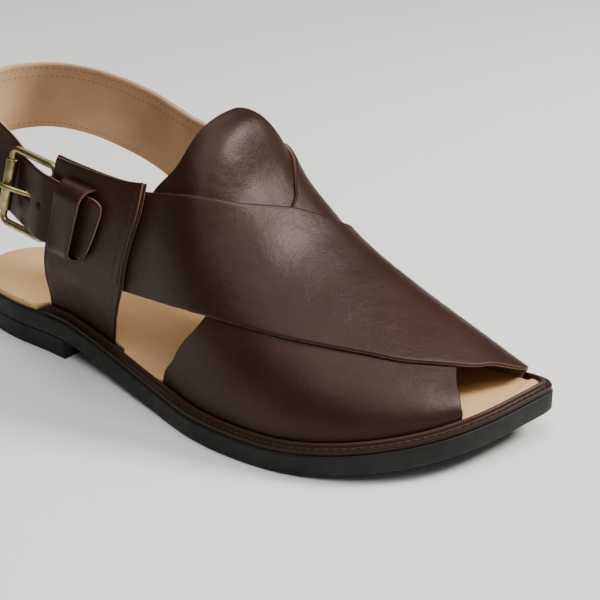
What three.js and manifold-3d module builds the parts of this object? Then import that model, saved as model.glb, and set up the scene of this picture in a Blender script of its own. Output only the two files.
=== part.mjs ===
// Peshawari chappal, right shoe. Millimetres, +X to the toe, -Y to the outer side, +Z up.
// While the pieces are worked out, X is measured from the back of the heel and Y from the heel's middle.
import * as THREE from 'three';
import { mergeVertices } from 'three/addons/utils/BufferGeometryUtils.js';
import Module from 'manifold-3d';

// Driving dimensions
const soleLength = 290;
const soleWidth = 115;
const outsoleThickness = 9;
const heelHeight = 9.5;
const heelLength = 78;
const toeSpring = 12;
const insoleThickness = 3;
const instepHeight = 109;
const weltWidth = 5.5;
const weltThickness = 2.3;
const beadHeight = 1.5;
const beadWidth = 2.2;
const leather = 1.9;
const bond = 0.7;
const gap = 0.3;
const tabLeather = 1.5;
const strapWidth = 32;
const sewnWidth = 42;
const billetWidth = 30;
const strapThickness = 2.6;
const billetThickness = 1.8;
const holeDiameter = 4;
const holeSpacing = 12;
const keeperWidth = 22;
const keeperLeather = 1.8;
const barDiameter = 3.4;
const rollerDiameter = 5.4;
const prongDiameter = 2.4;
const buckleLength = 26;
const buckleTilt = 9;
const buckleLean = 10;

// Where the sole starts to curve, as shares of its length
const archStart = (heelLength + 2) / soleLength;
const archEnd = 0.586;
const springStart = 0.707;

// Outline of the outsole: along as a share of soleLength, outer and inner edge as shares of soleWidth
const soleRows = [
  { along: 0.010, outer: -0.098, inner: 0.096 },
  { along: 0.034, outer: -0.183, inner: 0.174 },
  { along: 0.076, outer: -0.246, inner: 0.230 },
  { along: 0.145, outer: -0.289, inner: 0.268 },
  { along: 0.235, outer: -0.304, inner: 0.280 },
  { along: 0.345, outer: -0.341, inner: 0.300 },
  { along: 0.483, outer: -0.428, inner: 0.370 },
  { along: 0.600, outer: -0.509, inner: 0.452 },
  { along: 0.690, outer: -0.523, inner: 0.478 },
  { along: 0.766, outer: -0.497, inner: 0.475 },
  { along: 0.834, outer: -0.428, inner: 0.452 },
  { along: 0.890, outer: -0.330, inner: 0.425 },
  { along: 0.934, outer: -0.209, inner: 0.394 },
  { along: 0.967, outer: -0.052, inner: 0.364 },
];
// The chiselled toe between the last two rows' edges
const toeRows = [
  { along: 0.9880, across: 0.130 },
  { along: 0.9990, across: 0.285 },
  { along: 0.9880, across: 0.328 },
];

// Sections of the last: height over the insole as a share of instepHeight, ridge as a share of soleWidth,
// shoulder and crown as powers of the section's sine and cosine, flare as a share of its half width
const lastRows = [
  { along: 0.200, height: 0.908, ridge: 0.043, shoulder: 0.42, crown: 0.80, flare: 0.10 },
  { along: 0.340, height: 0.921, ridge: 0.052, shoulder: 0.48, crown: 0.80, flare: 0.09 },
  { along: 0.450, height: 0.945, ridge: 0.070, shoulder: 0.70, crown: 0.80, flare: 0.04 },
  { along: 0.500, height: 1.000, ridge: 0.076, shoulder: 0.82, crown: 0.70, flare: 0.02 },
  { along: 0.540, height: 0.965, ridge: 0.084, shoulder: 0.90, crown: 0.70, flare: 0.00 },
  { along: 0.580, height: 0.785, ridge: 0.092, shoulder: 0.93, crown: 0.70, flare: 0.00 },
  { along: 0.620, height: 0.668, ridge: 0.098, shoulder: 0.94, crown: 0.76, flare: 0.00 },
  { along: 0.670, height: 0.541, ridge: 0.107, shoulder: 0.95, crown: 0.80, flare: 0.00 },
  { along: 0.760, height: 0.381, ridge: 0.122, shoulder: 0.90, crown: 0.80, flare: 0.00 },
  { along: 0.845, height: 0.239, ridge: 0.140, shoulder: 0.85, crown: 0.75, flare: 0.00 },
  { along: 0.914, height: 0.118, ridge: 0.157, shoulder: 0.80, crown: 0.70, flare: 0.00 },
  { along: 0.980, height: 0.010, ridge: 0.209, shoulder: 0.80, crown: 0.85, flare: 0.00 },
];

// Cut edges of the leather, along as a share of soleLength and girth from -1 at the outer feather edge,
// over 0 on the ridge, to 1 at the inner one. Past 1 the leather goes down beside the insole.
const footGirth = 1.05;
const strapOverRows = [
  { rear: 0.435, rearGirth: -0.500, front: 0.402, frontGirth: -0.851 },
  { rear: 0.480, rearGirth: -0.524, front: 0.480, frontGirth: -0.850 },
  { rear: 0.516, rearGirth: -0.536, front: 0.545, frontGirth: -0.828 },
  { rear: 0.552, rearGirth: -0.452, front: 0.608, frontGirth: -0.715 },
  { rear: 0.575, rearGirth: -0.322, front: 0.666, frontGirth: -0.610 },
  { rear: 0.600, rearGirth: -0.180, front: 0.722, frontGirth: -0.520 },
  { rear: 0.618, rearGirth: -0.075, front: 0.800, frontGirth: -0.380 },
  { rear: 0.639, rearGirth: 0.035, front: 0.848, frontGirth: -0.290 },
  { rear: 0.651, rearGirth: 0.205, front: 0.888, frontGirth: -0.145 },
  { rear: 0.642, rearGirth: 0.450, front: 0.919, frontGirth: -0.005 },
  { rear: 0.618, rearGirth: 0.700, front: 0.945, frontGirth: 0.230 },
  { rear: 0.572, rearGirth: 0.890, front: 0.953, frontGirth: 0.500 },
  { rear: 0.535, rearGirth: 1.000, front: 0.943, frontGirth: 1.000 },
  { rear: 0.535, rearGirth: footGirth, front: 0.943, frontGirth: footGirth },
];
const strapUnderRows = [
  { rear: 0.435, rearGirth: 0.500, front: 0.402, frontGirth: 0.851 },
  { rear: 0.480, rearGirth: 0.494, front: 0.480, frontGirth: 0.850 },
  { rear: 0.516, rearGirth: 0.475, front: 0.545, frontGirth: 0.828 },
  { rear: 0.556, rearGirth: 0.365, front: 0.608, frontGirth: 0.715 },
  { rear: 0.576, rearGirth: 0.215, front: 0.666, frontGirth: 0.610 },
  { rear: 0.597, rearGirth: 0.060, front: 0.722, frontGirth: 0.510 },
  { rear: 0.616, rearGirth: -0.060, front: 0.790, frontGirth: 0.370 },
  { rear: 0.624, rearGirth: -0.220, front: 0.842, frontGirth: 0.200 },
  { rear: 0.626, rearGirth: -0.430, front: 0.880, frontGirth: 0.000 },
  { rear: 0.611, rearGirth: -0.630, front: 0.906, frontGirth: -0.200 },
  { rear: 0.580, rearGirth: -0.825, front: 0.926, frontGirth: -0.420 },
  { rear: 0.536, rearGirth: -0.952, front: 0.938, frontGirth: -0.750 },
  { rear: 0.503, rearGirth: -1.000, front: 0.940, frontGirth: -1.000 },
  { rear: 0.503, rearGirth: -footGirth, front: 0.940, frontGirth: -footGirth },
];
const tongueRows = [
  { rear: 0.440, rearGirth: -0.600, front: 0.520, frontGirth: -0.600 },
  { rear: 0.455, rearGirth: -0.485, front: 0.600, frontGirth: -0.500 },
  { rear: 0.484, rearGirth: -0.418, front: 0.650, frontGirth: -0.380 },
  { rear: 0.491, rearGirth: -0.312, front: 0.672, frontGirth: -0.250 },
  { rear: 0.492, rearGirth: -0.170, front: 0.682, frontGirth: -0.120 },
  { rear: 0.492, rearGirth: -0.030, front: 0.685, frontGirth: 0.000 },
  { rear: 0.490, rearGirth: 0.120, front: 0.682, frontGirth: 0.120 },
  { rear: 0.486, rearGirth: 0.260, front: 0.672, frontGirth: 0.250 },
  { rear: 0.478, rearGirth: 0.360, front: 0.650, frontGirth: 0.380 },
  { rear: 0.460, rearGirth: 0.460, front: 0.600, frontGirth: 0.500 },
  { rear: 0.440, rearGirth: 0.580, front: 0.520, frontGirth: 0.600 },
];
// Quarters, from the top edge to the foot; the inner one's girth counts to the inner side
const outerQuarterRows = [
  { rear: 0.272, rearGirth: 0.500, front: 0.456, frontGirth: 0.478 },
  { rear: 0.266, rearGirth: 0.580, front: 0.456, frontGirth: 0.580 },
  { rear: 0.262, rearGirth: 0.670, front: 0.445, frontGirth: 0.670 },
  { rear: 0.252, rearGirth: 0.760, front: 0.432, frontGirth: 0.760 },
  { rear: 0.238, rearGirth: 0.840, front: 0.423, frontGirth: 0.840 },
  { rear: 0.230, rearGirth: 0.900, front: 0.410, frontGirth: 0.900 },
  { rear: 0.222, rearGirth: 0.950, front: 0.391, frontGirth: 0.950 },
  { rear: 0.222, rearGirth: 1.000, front: 0.376, frontGirth: 1.000 },
  { rear: 0.222, rearGirth: footGirth, front: 0.374, frontGirth: footGirth },
];
const innerQuarterRows = [
  { rear: 0.384, rearGirth: 0.520, front: 0.446, frontGirth: 0.510 },
  { rear: 0.376, rearGirth: 0.590, front: 0.448, frontGirth: 0.590 },
  { rear: 0.358, rearGirth: 0.670, front: 0.439, frontGirth: 0.670 },
  { rear: 0.332, rearGirth: 0.760, front: 0.427, frontGirth: 0.760 },
  { rear: 0.300, rearGirth: 0.840, front: 0.417, frontGirth: 0.840 },
  { rear: 0.272, rearGirth: 0.900, front: 0.408, frontGirth: 0.900 },
  { rear: 0.260, rearGirth: 0.950, front: 0.398, frontGirth: 0.950 },
  { rear: 0.256, rearGirth: 1.000, front: 0.393, frontGirth: 1.000 },
  { rear: 0.256, rearGirth: footGirth, front: 0.393, frontGirth: footGirth },
];
// The tab that folds round the buckle's bar, a second layer on the outer quarter
const tabRows = [
  { rear: 0.276, rearGirth: 0.505, front: 0.455, frontGirth: 0.476 },
  { rear: 0.270, rearGirth: 0.580, front: 0.455, frontGirth: 0.580 },
  { rear: 0.266, rearGirth: 0.670, front: 0.444, frontGirth: 0.670 },
  { rear: 0.264, rearGirth: 0.760, front: 0.430, frontGirth: 0.760 },
  { rear: 0.264, rearGirth: 0.830, front: 0.422, frontGirth: 0.830 },
];

const wasm = await Module();
wasm.setup();

const smoothStep = (t) => THREE.MathUtils.smoothstep(t, 0, 1);

// Value of a table's column at a place along it: cubic pieces whose slopes are those of the rows beside
function between(rows, column, place, key = 'along') {
  const at = (i) => rows[Math.min(Math.max(i, 0), rows.length - 1)];
  let i = 0;
  while (i < rows.length - 2 && place > rows[i + 1][key]) i += 1;
  const slope = (k) => {
    const before = at(k - 1);
    const after = at(k + 1);
    return (after[column] - before[column]) / (after[key] - before[key]);
  };
  const span = at(i + 1)[key] - at(i)[key];
  const t = THREE.MathUtils.clamp((place - at(i)[key]) / span, 0, 1);
  const rise = at(i + 1)[column] - at(i)[column];
  const a = slope(i) * span - rise;
  const b = -slope(i + 1) * span + rise;
  return (1 - t) * at(i)[column] + t * at(i + 1)[column] + t * (1 - t) * ((1 - t) * a + t * b);
}
// The same, with the rows at even steps from 0 to 1
function evenly(rows, column, share) {
  const steps = rows.map((row, i) => ({ at: i / (rows.length - 1), value: row[column] }));
  return between(steps, 'value', share, 'at');
}

// Height of the outsole's underside: flat under heel and ball, raised by the arch and the toe spring
function soleBottom(x) {
  const arch = 1 - THREE.MathUtils.clamp((x / soleLength - archStart) / (archEnd - archStart), 0, 1);
  const toe = THREE.MathUtils.clamp((x / soleLength - springStart) / (1 - springStart), 0, 1);
  return heelHeight * arch ** 1.6 + toeSpring * toe ** 1.7;
}
const soleTop = (x) => soleBottom(x) + outsoleThickness;
const insoleTop = (x) => soleTop(x) + insoleThickness;

// Closed outline of the sole as evenly spaced points with inward normals, from the heel round the outer side
const outlineSteps = 720;
function soleOutline() {
  const point = (along, across) => new THREE.Vector3(along * soleLength, across * soleWidth, 0);
  const points = [
    point(0, 0),
    ...soleRows.map((row) => point(row.along, row.outer)),
    ...toeRows.map((row) => point(row.along, row.across)),
    ...[...soleRows].reverse().map((row) => point(row.along, row.inner)),
  ];
  const curve = new THREE.CatmullRomCurve3(points, true, 'centripetal');
  curve.arcLengthDivisions = 4 * outlineSteps;
  const spaced = curve.getSpacedPoints(outlineSteps).slice(0, outlineSteps);
  return spaced.map((p, i) => {
    const next = spaced[(i + 1) % outlineSteps];
    const last = spaced[(i + outlineSteps - 1) % outlineSteps];
    const along = next.clone().sub(last).normalize();
    return { p, inward: new THREE.Vector3(-along.y, along.x, 0) };
  });
}
const outline = soleOutline();

// The outline moved inward by a distance, split at heel and toe into an outer and an inner side
function rim(inset) {
  const moved = outline.map(({ p, inward }) => {
    const distance = typeof inset === 'function' ? inset(p, inward) : inset;
    return p.clone().addScaledVector(inward, distance);
  });
  const heel = moved.reduce((best, p, i) => (p.x < moved[best].x ? i : best), 0);
  const toe = moved.reduce((best, p, i) => (p.x > moved[best].x ? i : best), 0);
  const walk = (step) => {
    const side = [];
    for (let i = heel; i !== toe; i = (i + step + outlineSteps) % outlineSteps) side.push(moved[i]);
    side.push(moved[toe]);
    let reach = -Infinity;
    return side.map((p) => {
      reach = Math.max(reach + 1e-6, p.x);
      return { x: reach, y: p.y };
    });
  };
  return { outer: walk(1), inner: walk(-1), from: moved[heel].x, to: moved[toe].x };
}
function edgeAt(side, x) {
  let low = 0;
  let high = side.length - 1;
  while (high - low > 1) {
    const middle = (low + high) >> 1;
    if (side[middle].x <= x) low = middle;
    else high = middle;
  }
  const t = THREE.MathUtils.clamp((x - side[low].x) / (side[high].x - side[low].x), 0, 1);
  return THREE.MathUtils.lerp(side[low].y, side[high].y, t);
}
const feather = rim(weltWidth);

// Point of the last at a place along and round it, moved out along its normal
function lastPoint(x, girth) {
  const place = x / soleLength;
  const inside = Math.min(x, feather.to - 0.05);
  const outerEdge = edgeAt(feather.outer, inside);
  const innerEdge = edgeAt(feather.inner, inside);
  const g = THREE.MathUtils.clamp(girth, -1, 1);
  const ridgeAt = between(lastRows, 'ridge', place) * soleWidth;
  const ridge = THREE.MathUtils.clamp(ridgeAt, outerEdge + 1, innerEdge - 1);
  const flare = 1 + between(lastRows, 'flare', place) * Math.cos((Math.PI / 2) * g);
  const half = (g < 0 ? ridge - outerEdge : innerEdge - ridge) * flare;
  const sine = Math.abs(Math.sin((Math.PI / 2) * g)) ** between(lastRows, 'shoulder', place);
  const cosine = Math.abs(Math.cos((Math.PI / 2) * g)) ** between(lastRows, 'crown', place);
  const height = between(lastRows, 'height', place) * instepHeight;
  const below = Math.max(Math.abs(girth) - 1, 0) / (footGirth - 1);
  const z = insoleTop(x) + height * cosine - below * (insoleThickness - gap);
  return new THREE.Vector3(x, ridge + half * Math.sign(g) * sine, z);
}
function lastSurface(x, girth, offset) {
  const g = THREE.MathUtils.clamp(girth, -0.998, 0.998);
  const along = lastPoint(x + 0.15, g).sub(lastPoint(x - 0.15, g));
  const round = lastPoint(x, g + 0.001).sub(lastPoint(x, g - 0.001));
  const normal = along.cross(round).normalize();
  if (Math.abs(girth) >= 1) normal.setZ(0).normalize();
  return lastPoint(x, girth).addScaledVector(normal, offset);
}
// Point beside the last at a height, on the outer (-1) or inner (1) side
function besideLast(x, z, side, offset) {
  let low = 0.2;
  let high = 1;
  for (let i = 0; i < 40; i += 1) {
    const middle = (low + high) / 2;
    if (lastSurface(x, side * middle, offset).z > z) low = middle;
    else high = middle;
  }
  return lastSurface(x, side * low, offset);
}

// Closed mesh through rings of equal length. An open one is capped by strips across its end rings.
function loft(rings, closed = false) {
  const count = rings[0].length;
  const positions = rings.flat().flatMap((p) => [p.x, p.y, p.z]);
  const faces = [];
  const quad = (a, b, c, d) => faces.push(a, b, c, a, c, d);
  const spans = closed ? rings.length : rings.length - 1;
  for (let i = 0; i < spans; i += 1) {
    const here = i * count;
    const there = ((i + 1) % rings.length) * count;
    for (let j = 0; j < count; j += 1) {
      const k = (j + 1) % count;
      quad(here + j, there + j, there + k, here + k);
    }
  }
  if (!closed) {
    const end = (rings.length - 1) * count;
    for (let j = 0; j < count / 2 - 1; j += 1) {
      quad(j, j + 1, count - 2 - j, count - 1 - j);
      quad(end + j, end + count - 1 - j, end + count - 2 - j, end + j + 1);
    }
  }
  return finished(positions, faces);
}
// Welds equal corners, drops the faces that this empties, and turns the faces out
function finished(positions, faces) {
  const raw = new THREE.BufferGeometry();
  raw.setAttribute('position', new THREE.Float32BufferAttribute(positions, 3));
  raw.setIndex(faces);
  const welded = mergeVertices(raw, 1e-3);
  const index = welded.index.array;
  const p = welded.attributes.position;
  const kept = [];
  let volume = 0;
  const corner = [0, 1, 2].map(() => new THREE.Vector3());
  for (let i = 0; i < index.length; i += 3) {
    const [a, b, c] = [index[i], index[i + 1], index[i + 2]];
    if (a === b || b === c || c === a) continue;
    kept.push(a, b, c);
    corner.forEach((v, k) => v.fromBufferAttribute(p, index[i + k]));
    volume += corner[0].dot(corner[1].clone().cross(corner[2]));
  }
  if (volume < 0) kept.reverse();
  welded.setIndex(kept);
  return welded;
}
function toSolid(geometry) {
  return new wasm.Manifold(new wasm.Mesh({
    numProp: 3,
    vertProperties: new Float32Array(geometry.attributes.position.array),
    triVerts: new Uint32Array(geometry.index.array),
  }));
}
function toGeometry(solid) {
  const { vertProperties, triVerts } = solid.getMesh();
  const geometry = new THREE.BufferGeometry();
  geometry.setAttribute('position', new THREE.BufferAttribute(new Float32Array(vertProperties), 3));
  geometry.setIndex([...triVerts]);
  return geometry;
}
const joined = (...pieces) => toGeometry(pieces.map(toSolid).reduce((a, b) => a.add(b)));
const without = (solid, tool) => solid.subtract(tool);
const cut = (piece, ...tools) => toGeometry(tools.map(toSolid).reduce(without, toSolid(piece)));

// Even steps from 0 to 1, ends included
const steps = (count) => Array.from({ length: count + 1 }, (_, i) => i / count);
// Steps that crowd towards both ends, for outlines that turn round at heel and toe
const roundedSteps = (count) => steps(count).map((t) => (1 - Math.cos(Math.PI * t)) / 2);

// A plate that follows the sole: each profile row is an inset from the outline and a height function
function plate(profile, to, places) {
  const sides = profile.map(({ inset, height }) => ({ ...rim(inset), height }));
  const rings = places.map((t) => {
    const corner = (side, edge) => {
      const x = THREE.MathUtils.lerp(side.from, Math.min(to, side.to), t);
      return new THREE.Vector3(x, edgeAt(side[edge], x), side.height(x));
    };
    const outer = sides.map((side) => corner(side, 'outer'));
    const inner = sides.map((side) => corner(side, 'inner'));
    return [...outer, ...inner.reverse()];
  });
  return loft(rings);
}

function outsole() {
  const profile = [
    { inset: 1.6, height: soleBottom },
    { inset: 0, height: (x) => soleBottom(x) + 1.3 },
    { inset: 0, height: (x) => soleTop(x) - 1.0 },
    { inset: 0.7, height: soleTop },
  ];
  return plate(profile, Infinity, roundedSteps(52));
}
function heel() {
  const profile = [
    { inset: 1.2, height: () => 0 },
    { inset: 0.5, height: () => 1 },
    { inset: 0.2, height: () => heelHeight - gap },
  ];
  const places = steps(18).map((t) => 1 - Math.cos((Math.PI / 2) * t));
  return plate(profile, heelLength, places);
}
// The insole stays clear of leather that comes down beside it and widens to the welt in the openings
const weltStart = 0.222;
const openings = [
  { side: -1, from: 0.404, to: 0.496 },
  { side: 1, from: 0.404, to: 0.529 },
];
function insoleInset(p, inward) {
  const narrow = weltWidth + leather + 2 * gap;
  const wide = weltWidth;
  const place = (p.x + narrow * inward.x) / soleLength;
  const blend = 0.008;
  const within = (from, to) => smoothStep((place - from) / blend) * smoothStep((to - place) / blend);
  const side = Math.sign(p.y) || 1;
  let open = openings.reduce((sum, o) => sum + (o.side === side ? within(o.from, o.to) : 0), 0);
  const mouth = p.x > 0.9 * soleLength && p.y < 0.275 * soleWidth;
  if (mouth) open = smoothStep((place - 0.944) / blend);
  const seat = 1 - smoothStep((place - weltStart + 0.02) / blend);
  return THREE.MathUtils.lerp(THREE.MathUtils.lerp(narrow, wide, open), 1.4, seat);
}
function insole() {
  const profile = [
    { inset: insoleInset, height: (x) => soleTop(x) + gap },
    { inset: insoleInset, height: insoleTop },
  ];
  return plate(profile, Infinity, roundedSteps(90));
}
// Welt: a strip on the outsole's edge whose inner edge stands up as a bead against the upper
function welt() {
  const inside = weltWidth - 1.9 * gap;
  const section = [
    { inset: 0.7, height: gap },
    { inset: 0.7, height: weltThickness },
    { inset: inside - beadWidth, height: weltThickness },
    { inset: inside - 0.75 * beadWidth, height: weltThickness + 0.8 * beadHeight },
    { inset: inside - 0.4 * beadWidth, height: weltThickness + beadHeight },
    { inset: inside, height: weltThickness + 0.5 * beadHeight },
    { inset: inside, height: weltThickness },
    { inset: inside, height: gap },
  ];
  const strip = outline.filter(({ p }) => p.x > weltStart * soleLength);
  const start = strip.findIndex(({ p }, i) => p.y < 0 && (i === 0 || strip[i - 1].p.y > 0));
  const ordered = [...strip.slice(start), ...strip.slice(0, start)];
  let latest = ordered[0];
  const places = ordered.filter((place, i) => {
    const turned = place.inward.angleTo(latest.inward) > THREE.MathUtils.degToRad(6);
    const gone = place.p.distanceTo(latest.p) > 8;
    if (i > 0 && i < ordered.length - 1 && !turned && !gone) return false;
    latest = place;
    return true;
  });
  const rings = places.map(({ p, inward }) => (
    section.map(({ inset, height }) => {
      const at = p.clone().addScaledVector(inward, inset);
      return at.setZ(soleTop(p.x) + height);
    })
  ));
  return loft(rings);
}

// 1 where leather layers lie on each other, 0 at the foot where each comes down on the feather edge
const layered = (girth) => smoothStep((1 - Math.abs(girth)) / 0.12);

// Leather between a rear and a front edge: rings go across, outer face first, and follow one another along
function sheet(edges, across, outer, inner) {
  const rings = edges.map(({ rear, rearGirth, front, frontGirth }) => {
    const face = (offset) => steps(across).map((v) => {
      const x = THREE.MathUtils.lerp(rear, front, v) * soleLength;
      const girth = THREE.MathUtils.lerp(rearGirth, frontGirth, v);
      return lastSurface(x, girth, offset(girth));
    });
    return [...face(outer), ...face(inner).reverse()];
  });
  return loft(rings);
}
const alongRows = (rows, places) => places.map((t) => {
  const edge = {};
  Object.keys(rows[0]).forEach((column) => {
    edge[column] = evenly(rows, column, t);
  });
  return edge;
});

function upper() {
  const over = sheet(
    alongRows(strapOverRows, steps(26)),
    16,
    (g) => leather * layered(g),
    (g) => -bond * layered(g) - leather * (1 - layered(g)),
  );
  const under = sheet(
    alongRows(strapUnderRows, steps(26)),
    16,
    () => 0,
    (g) => -leather - bond * layered(g),
  );
  const tongue = sheet(alongRows(tongueRows, steps(14)), 7, () => -leather, () => -2 * leather);
  return joined(over, under, tongue);
}

// Quarters lie over the strap ends, and come down to the feather edge at the foot
const quarterInner = leather + gap + 0.2;
const quarterOuter = quarterInner + leather;
const innerQuarterOuter = quarterOuter - leather;
const quarterFace = (offset) => (g) => {
  const outermost = g < 0 ? quarterOuter : innerQuarterOuter;
  return offset - outermost * (1 - layered(g));
};
function quarterSheet(rows, side, count, across, outer, inner) {
  const edges = alongRows(rows, steps(count)).map(({ rear, rearGirth, front, frontGirth }) => (
    { rear, front, rearGirth: side * rearGirth, frontGirth: side * frontGirth }
  ));
  return sheet(edges, across, quarterFace(outer), quarterFace(inner));
}

// Local frame of the buckle: its middle beside the outer quarter, first axis towards the toe along the strap,
// second axis across the strap, third axis outwards
const buckleMiddle = 0.212;
const buckleHeight = 0.70;
const tabOuter = quarterOuter + tabLeather;
function buckleFrameOf() {
  const x = buckleMiddle * soleLength;
  const z = buckleHeight * instepHeight;
  const middle = besideLast(x, z, -1, quarterOuter);
  const turn = new THREE.Matrix4().makeRotationFromEuler(new THREE.Euler(
    THREE.MathUtils.degToRad(-buckleLean),
    THREE.MathUtils.degToRad(buckleTilt),
    0,
    'XYZ',
  ));
  const facing = new THREE.Matrix4().makeBasis(
    new THREE.Vector3(1, 0, 0),
    new THREE.Vector3(0, 0, 1),
    new THREE.Vector3(0, -1, 0),
  );
  return new THREE.Matrix4().makeTranslation(middle).multiply(turn).multiply(facing);
}
const buckleSpace = buckleFrameOf();
const inBuckle = (along, across, out) => new THREE.Vector3(along, across, out).applyMatrix4(buckleSpace);

const prongPlace = 0.4;
const prongHole = 8.4;
const keeperRow = 1.52;
const keeperRoom = 2.7;
const keeperCorner = 5;
const keeperSkew = 4.2;
const barOut = 0.5;
const rollerOut = 1.2;
const prongLoop = barDiameter / 2 + 0.45 + prongDiameter / 2;
const halfBuckle = buckleLength / 2;
const halfInside = billetWidth / 2 + 0.6;
const barClear = barDiameter + 2 * gap;
const sleeveDiameter = barClear + 2 * tabLeather;

function rod(from, to, diameter, sides) {
  const axis = to.clone().sub(from).normalize();
  const aside = new THREE.Vector3(0, 0, 1).cross(axis);
  if (aside.length() < 0.1) aside.set(1, 0, 0);
  aside.normalize();
  const third = axis.clone().cross(aside);
  const ring = (middle) => steps(sides).slice(0, sides).map((t) => {
    const angle = 2 * Math.PI * t;
    return middle.clone()
      .addScaledVector(aside, (diameter / 2) * Math.cos(angle))
      .addScaledVector(third, (diameter / 2) * Math.sin(angle));
  });
  return loft([ring(from), ring(to)]);
}
// Round wire along a path of the buckle's space, square to the path
function wire(points, diameter, sides, closed) {
  const rings = points.map((point, i) => {
    const count = points.length;
    const next = closed ? points[(i + 1) % count] : points[Math.min(i + 1, count - 1)];
    const last = closed ? points[(i + count - 1) % count] : points[Math.max(i - 1, 0)];
    const axis = next.clone().sub(last).normalize();
    const out = new THREE.Vector3(0, 0, 1);
    if (Math.abs(axis.z) > 0.9) out.set(1, 0, 0);
    const aside = out.clone().cross(axis).normalize();
    const third = axis.clone().cross(aside);
    return steps(sides).slice(0, sides).map((t) => {
      const angle = 2 * Math.PI * t;
      return point.clone()
        .addScaledVector(aside, (diameter / 2) * Math.cos(angle))
        .addScaledVector(third, (diameter / 2) * Math.sin(angle));
    });
  });
  return loft(rings.map((ring) => ring.map((p) => p.applyMatrix4(buckleSpace))), closed);
}

function buckleFrame() {
  const corner = 3;
  const halfAcross = halfInside + barDiameter / 2;
  const path = [];
  const corners = [
    { along: halfBuckle, across: halfAcross, start: 0 },
    { along: -halfBuckle, across: halfAcross, start: 90 },
    { along: -halfBuckle, across: -halfAcross, start: 180 },
    { along: halfBuckle, across: -halfAcross, start: 270 },
  ];
  corners.forEach(({ along, across, start }) => steps(4).forEach((t) => {
    const angle = THREE.MathUtils.degToRad(start + 90 * t);
    const a = along - Math.sign(along) * corner + corner * Math.cos(angle);
    const b = across - Math.sign(across) * corner + corner * Math.sin(angle);
    const out = THREE.MathUtils.mapLinear(a, -halfBuckle, halfBuckle, rollerOut, barOut);
    path.push(new THREE.Vector3(a, b, out));
  }));
  return wire(path, barDiameter, 8, true);
}
const clearEnds = (half, along, out) => [-half, half].map((across) => inBuckle(along, across, out));
function buckleRoller() {
  const half = halfInside - 3.4;
  const tube = rod(...clearEnds(half, -halfBuckle, rollerOut), rollerDiameter, 12);
  const bore = rod(...clearEnds(half + 2, -halfBuckle, rollerOut), barDiameter + 2 * gap, 12);
  return cut(tube, bore);
}
// The prong's eye goes round the bar; its tip lies on the roller
function buckleProng() {
  const path = steps(11).map((t) => {
    const angle = THREE.MathUtils.degToRad(-290 * t + 200);
    return new THREE.Vector3(
      halfBuckle + prongLoop * Math.cos(angle),
      0,
      barOut + prongLoop * Math.sin(angle),
    );
  });
  const over = rollerOut + rollerDiameter / 2 + gap + prongDiameter / 2;
  const under = barOut - prongLoop;
  path.push(new THREE.Vector3(0.15 * buckleLength, 0, THREE.MathUtils.lerp(under, over, 0.36)));
  path.push(new THREE.Vector3(-0.15 * buckleLength, 0, THREE.MathUtils.lerp(under, over, 0.72)));
  path.push(new THREE.Vector3(2 - halfBuckle, 0, over));
  path.push(new THREE.Vector3(-3.2 - halfBuckle, 0, over - 0.2));
  return wire(path, prongDiameter, 8, false);
}

// The chape folds round the buckle's bar and is slotted for the prong
function outerQuarter() {
  const base = quarterSheet(outerQuarterRows, -1, 16, 8, quarterOuter, quarterInner);
  const tab = quarterSheet(tabRows, -1, 7, 6, tabOuter, quarterOuter - 0.5);
  const half = halfInside - 3;
  const sleeve = rod(...clearEnds(half, halfBuckle, barOut), sleeveDiameter, 14);
  const barSpace = rod(...clearEnds(half + 6, halfBuckle, barOut), barClear, 14);
  const slotRadius = prongLoop + prongDiameter / 2 + gap;
  const slot = rod(...clearEnds(prongDiameter / 2 + 0.8, halfBuckle, barOut), 2 * slotRadius, 16);
  return cut(joined(base, tab, sleeve), barSpace, slot);
}
function innerQuarter() {
  return quarterSheet(innerQuarterRows, 1, 14, 7, innerQuarterOuter, innerQuarterOuter - leather);
}

// Middle line of the heel strap, from its end on the inner quarter, round the heel, through the buckle
// to the tip of its billet. The sewn rows lie on the inner quarter, the billet's on the outer one.
const strapSewnRows = [
  { along: 0.436, up: 0.680 },
  { along: 0.392, up: 0.723 },
  { along: 0.350, up: 0.768 },
];
const billetRows = [
  { along: 0.300, up: 0.668 },
  { along: 0.340, up: 0.660 },
  { along: 0.388, up: 0.652 },
];
const strapFreeRows = [
  { along: 0.262, across: 0.297, up: 0.842, lean: 6 },
  { along: 0.186, across: 0.300, up: 0.882, lean: 4 },
  { along: 0.110, across: 0.290, up: 0.903, lean: 3 },
  { along: 0.052, across: 0.235, up: 0.912, lean: 2 },
  { along: 0.020, across: 0.135, up: 0.912, lean: 0 },
  { along: 0.012, across: 0.010, up: 0.912, lean: 0 },
  { along: 0.028, across: -0.115, up: 0.915, lean: 2 },
  { along: 0.066, across: -0.200, up: 0.905, lean: 4 },
  { along: 0.110, across: -0.247, up: 0.850, lean: 6 },
];
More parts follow.
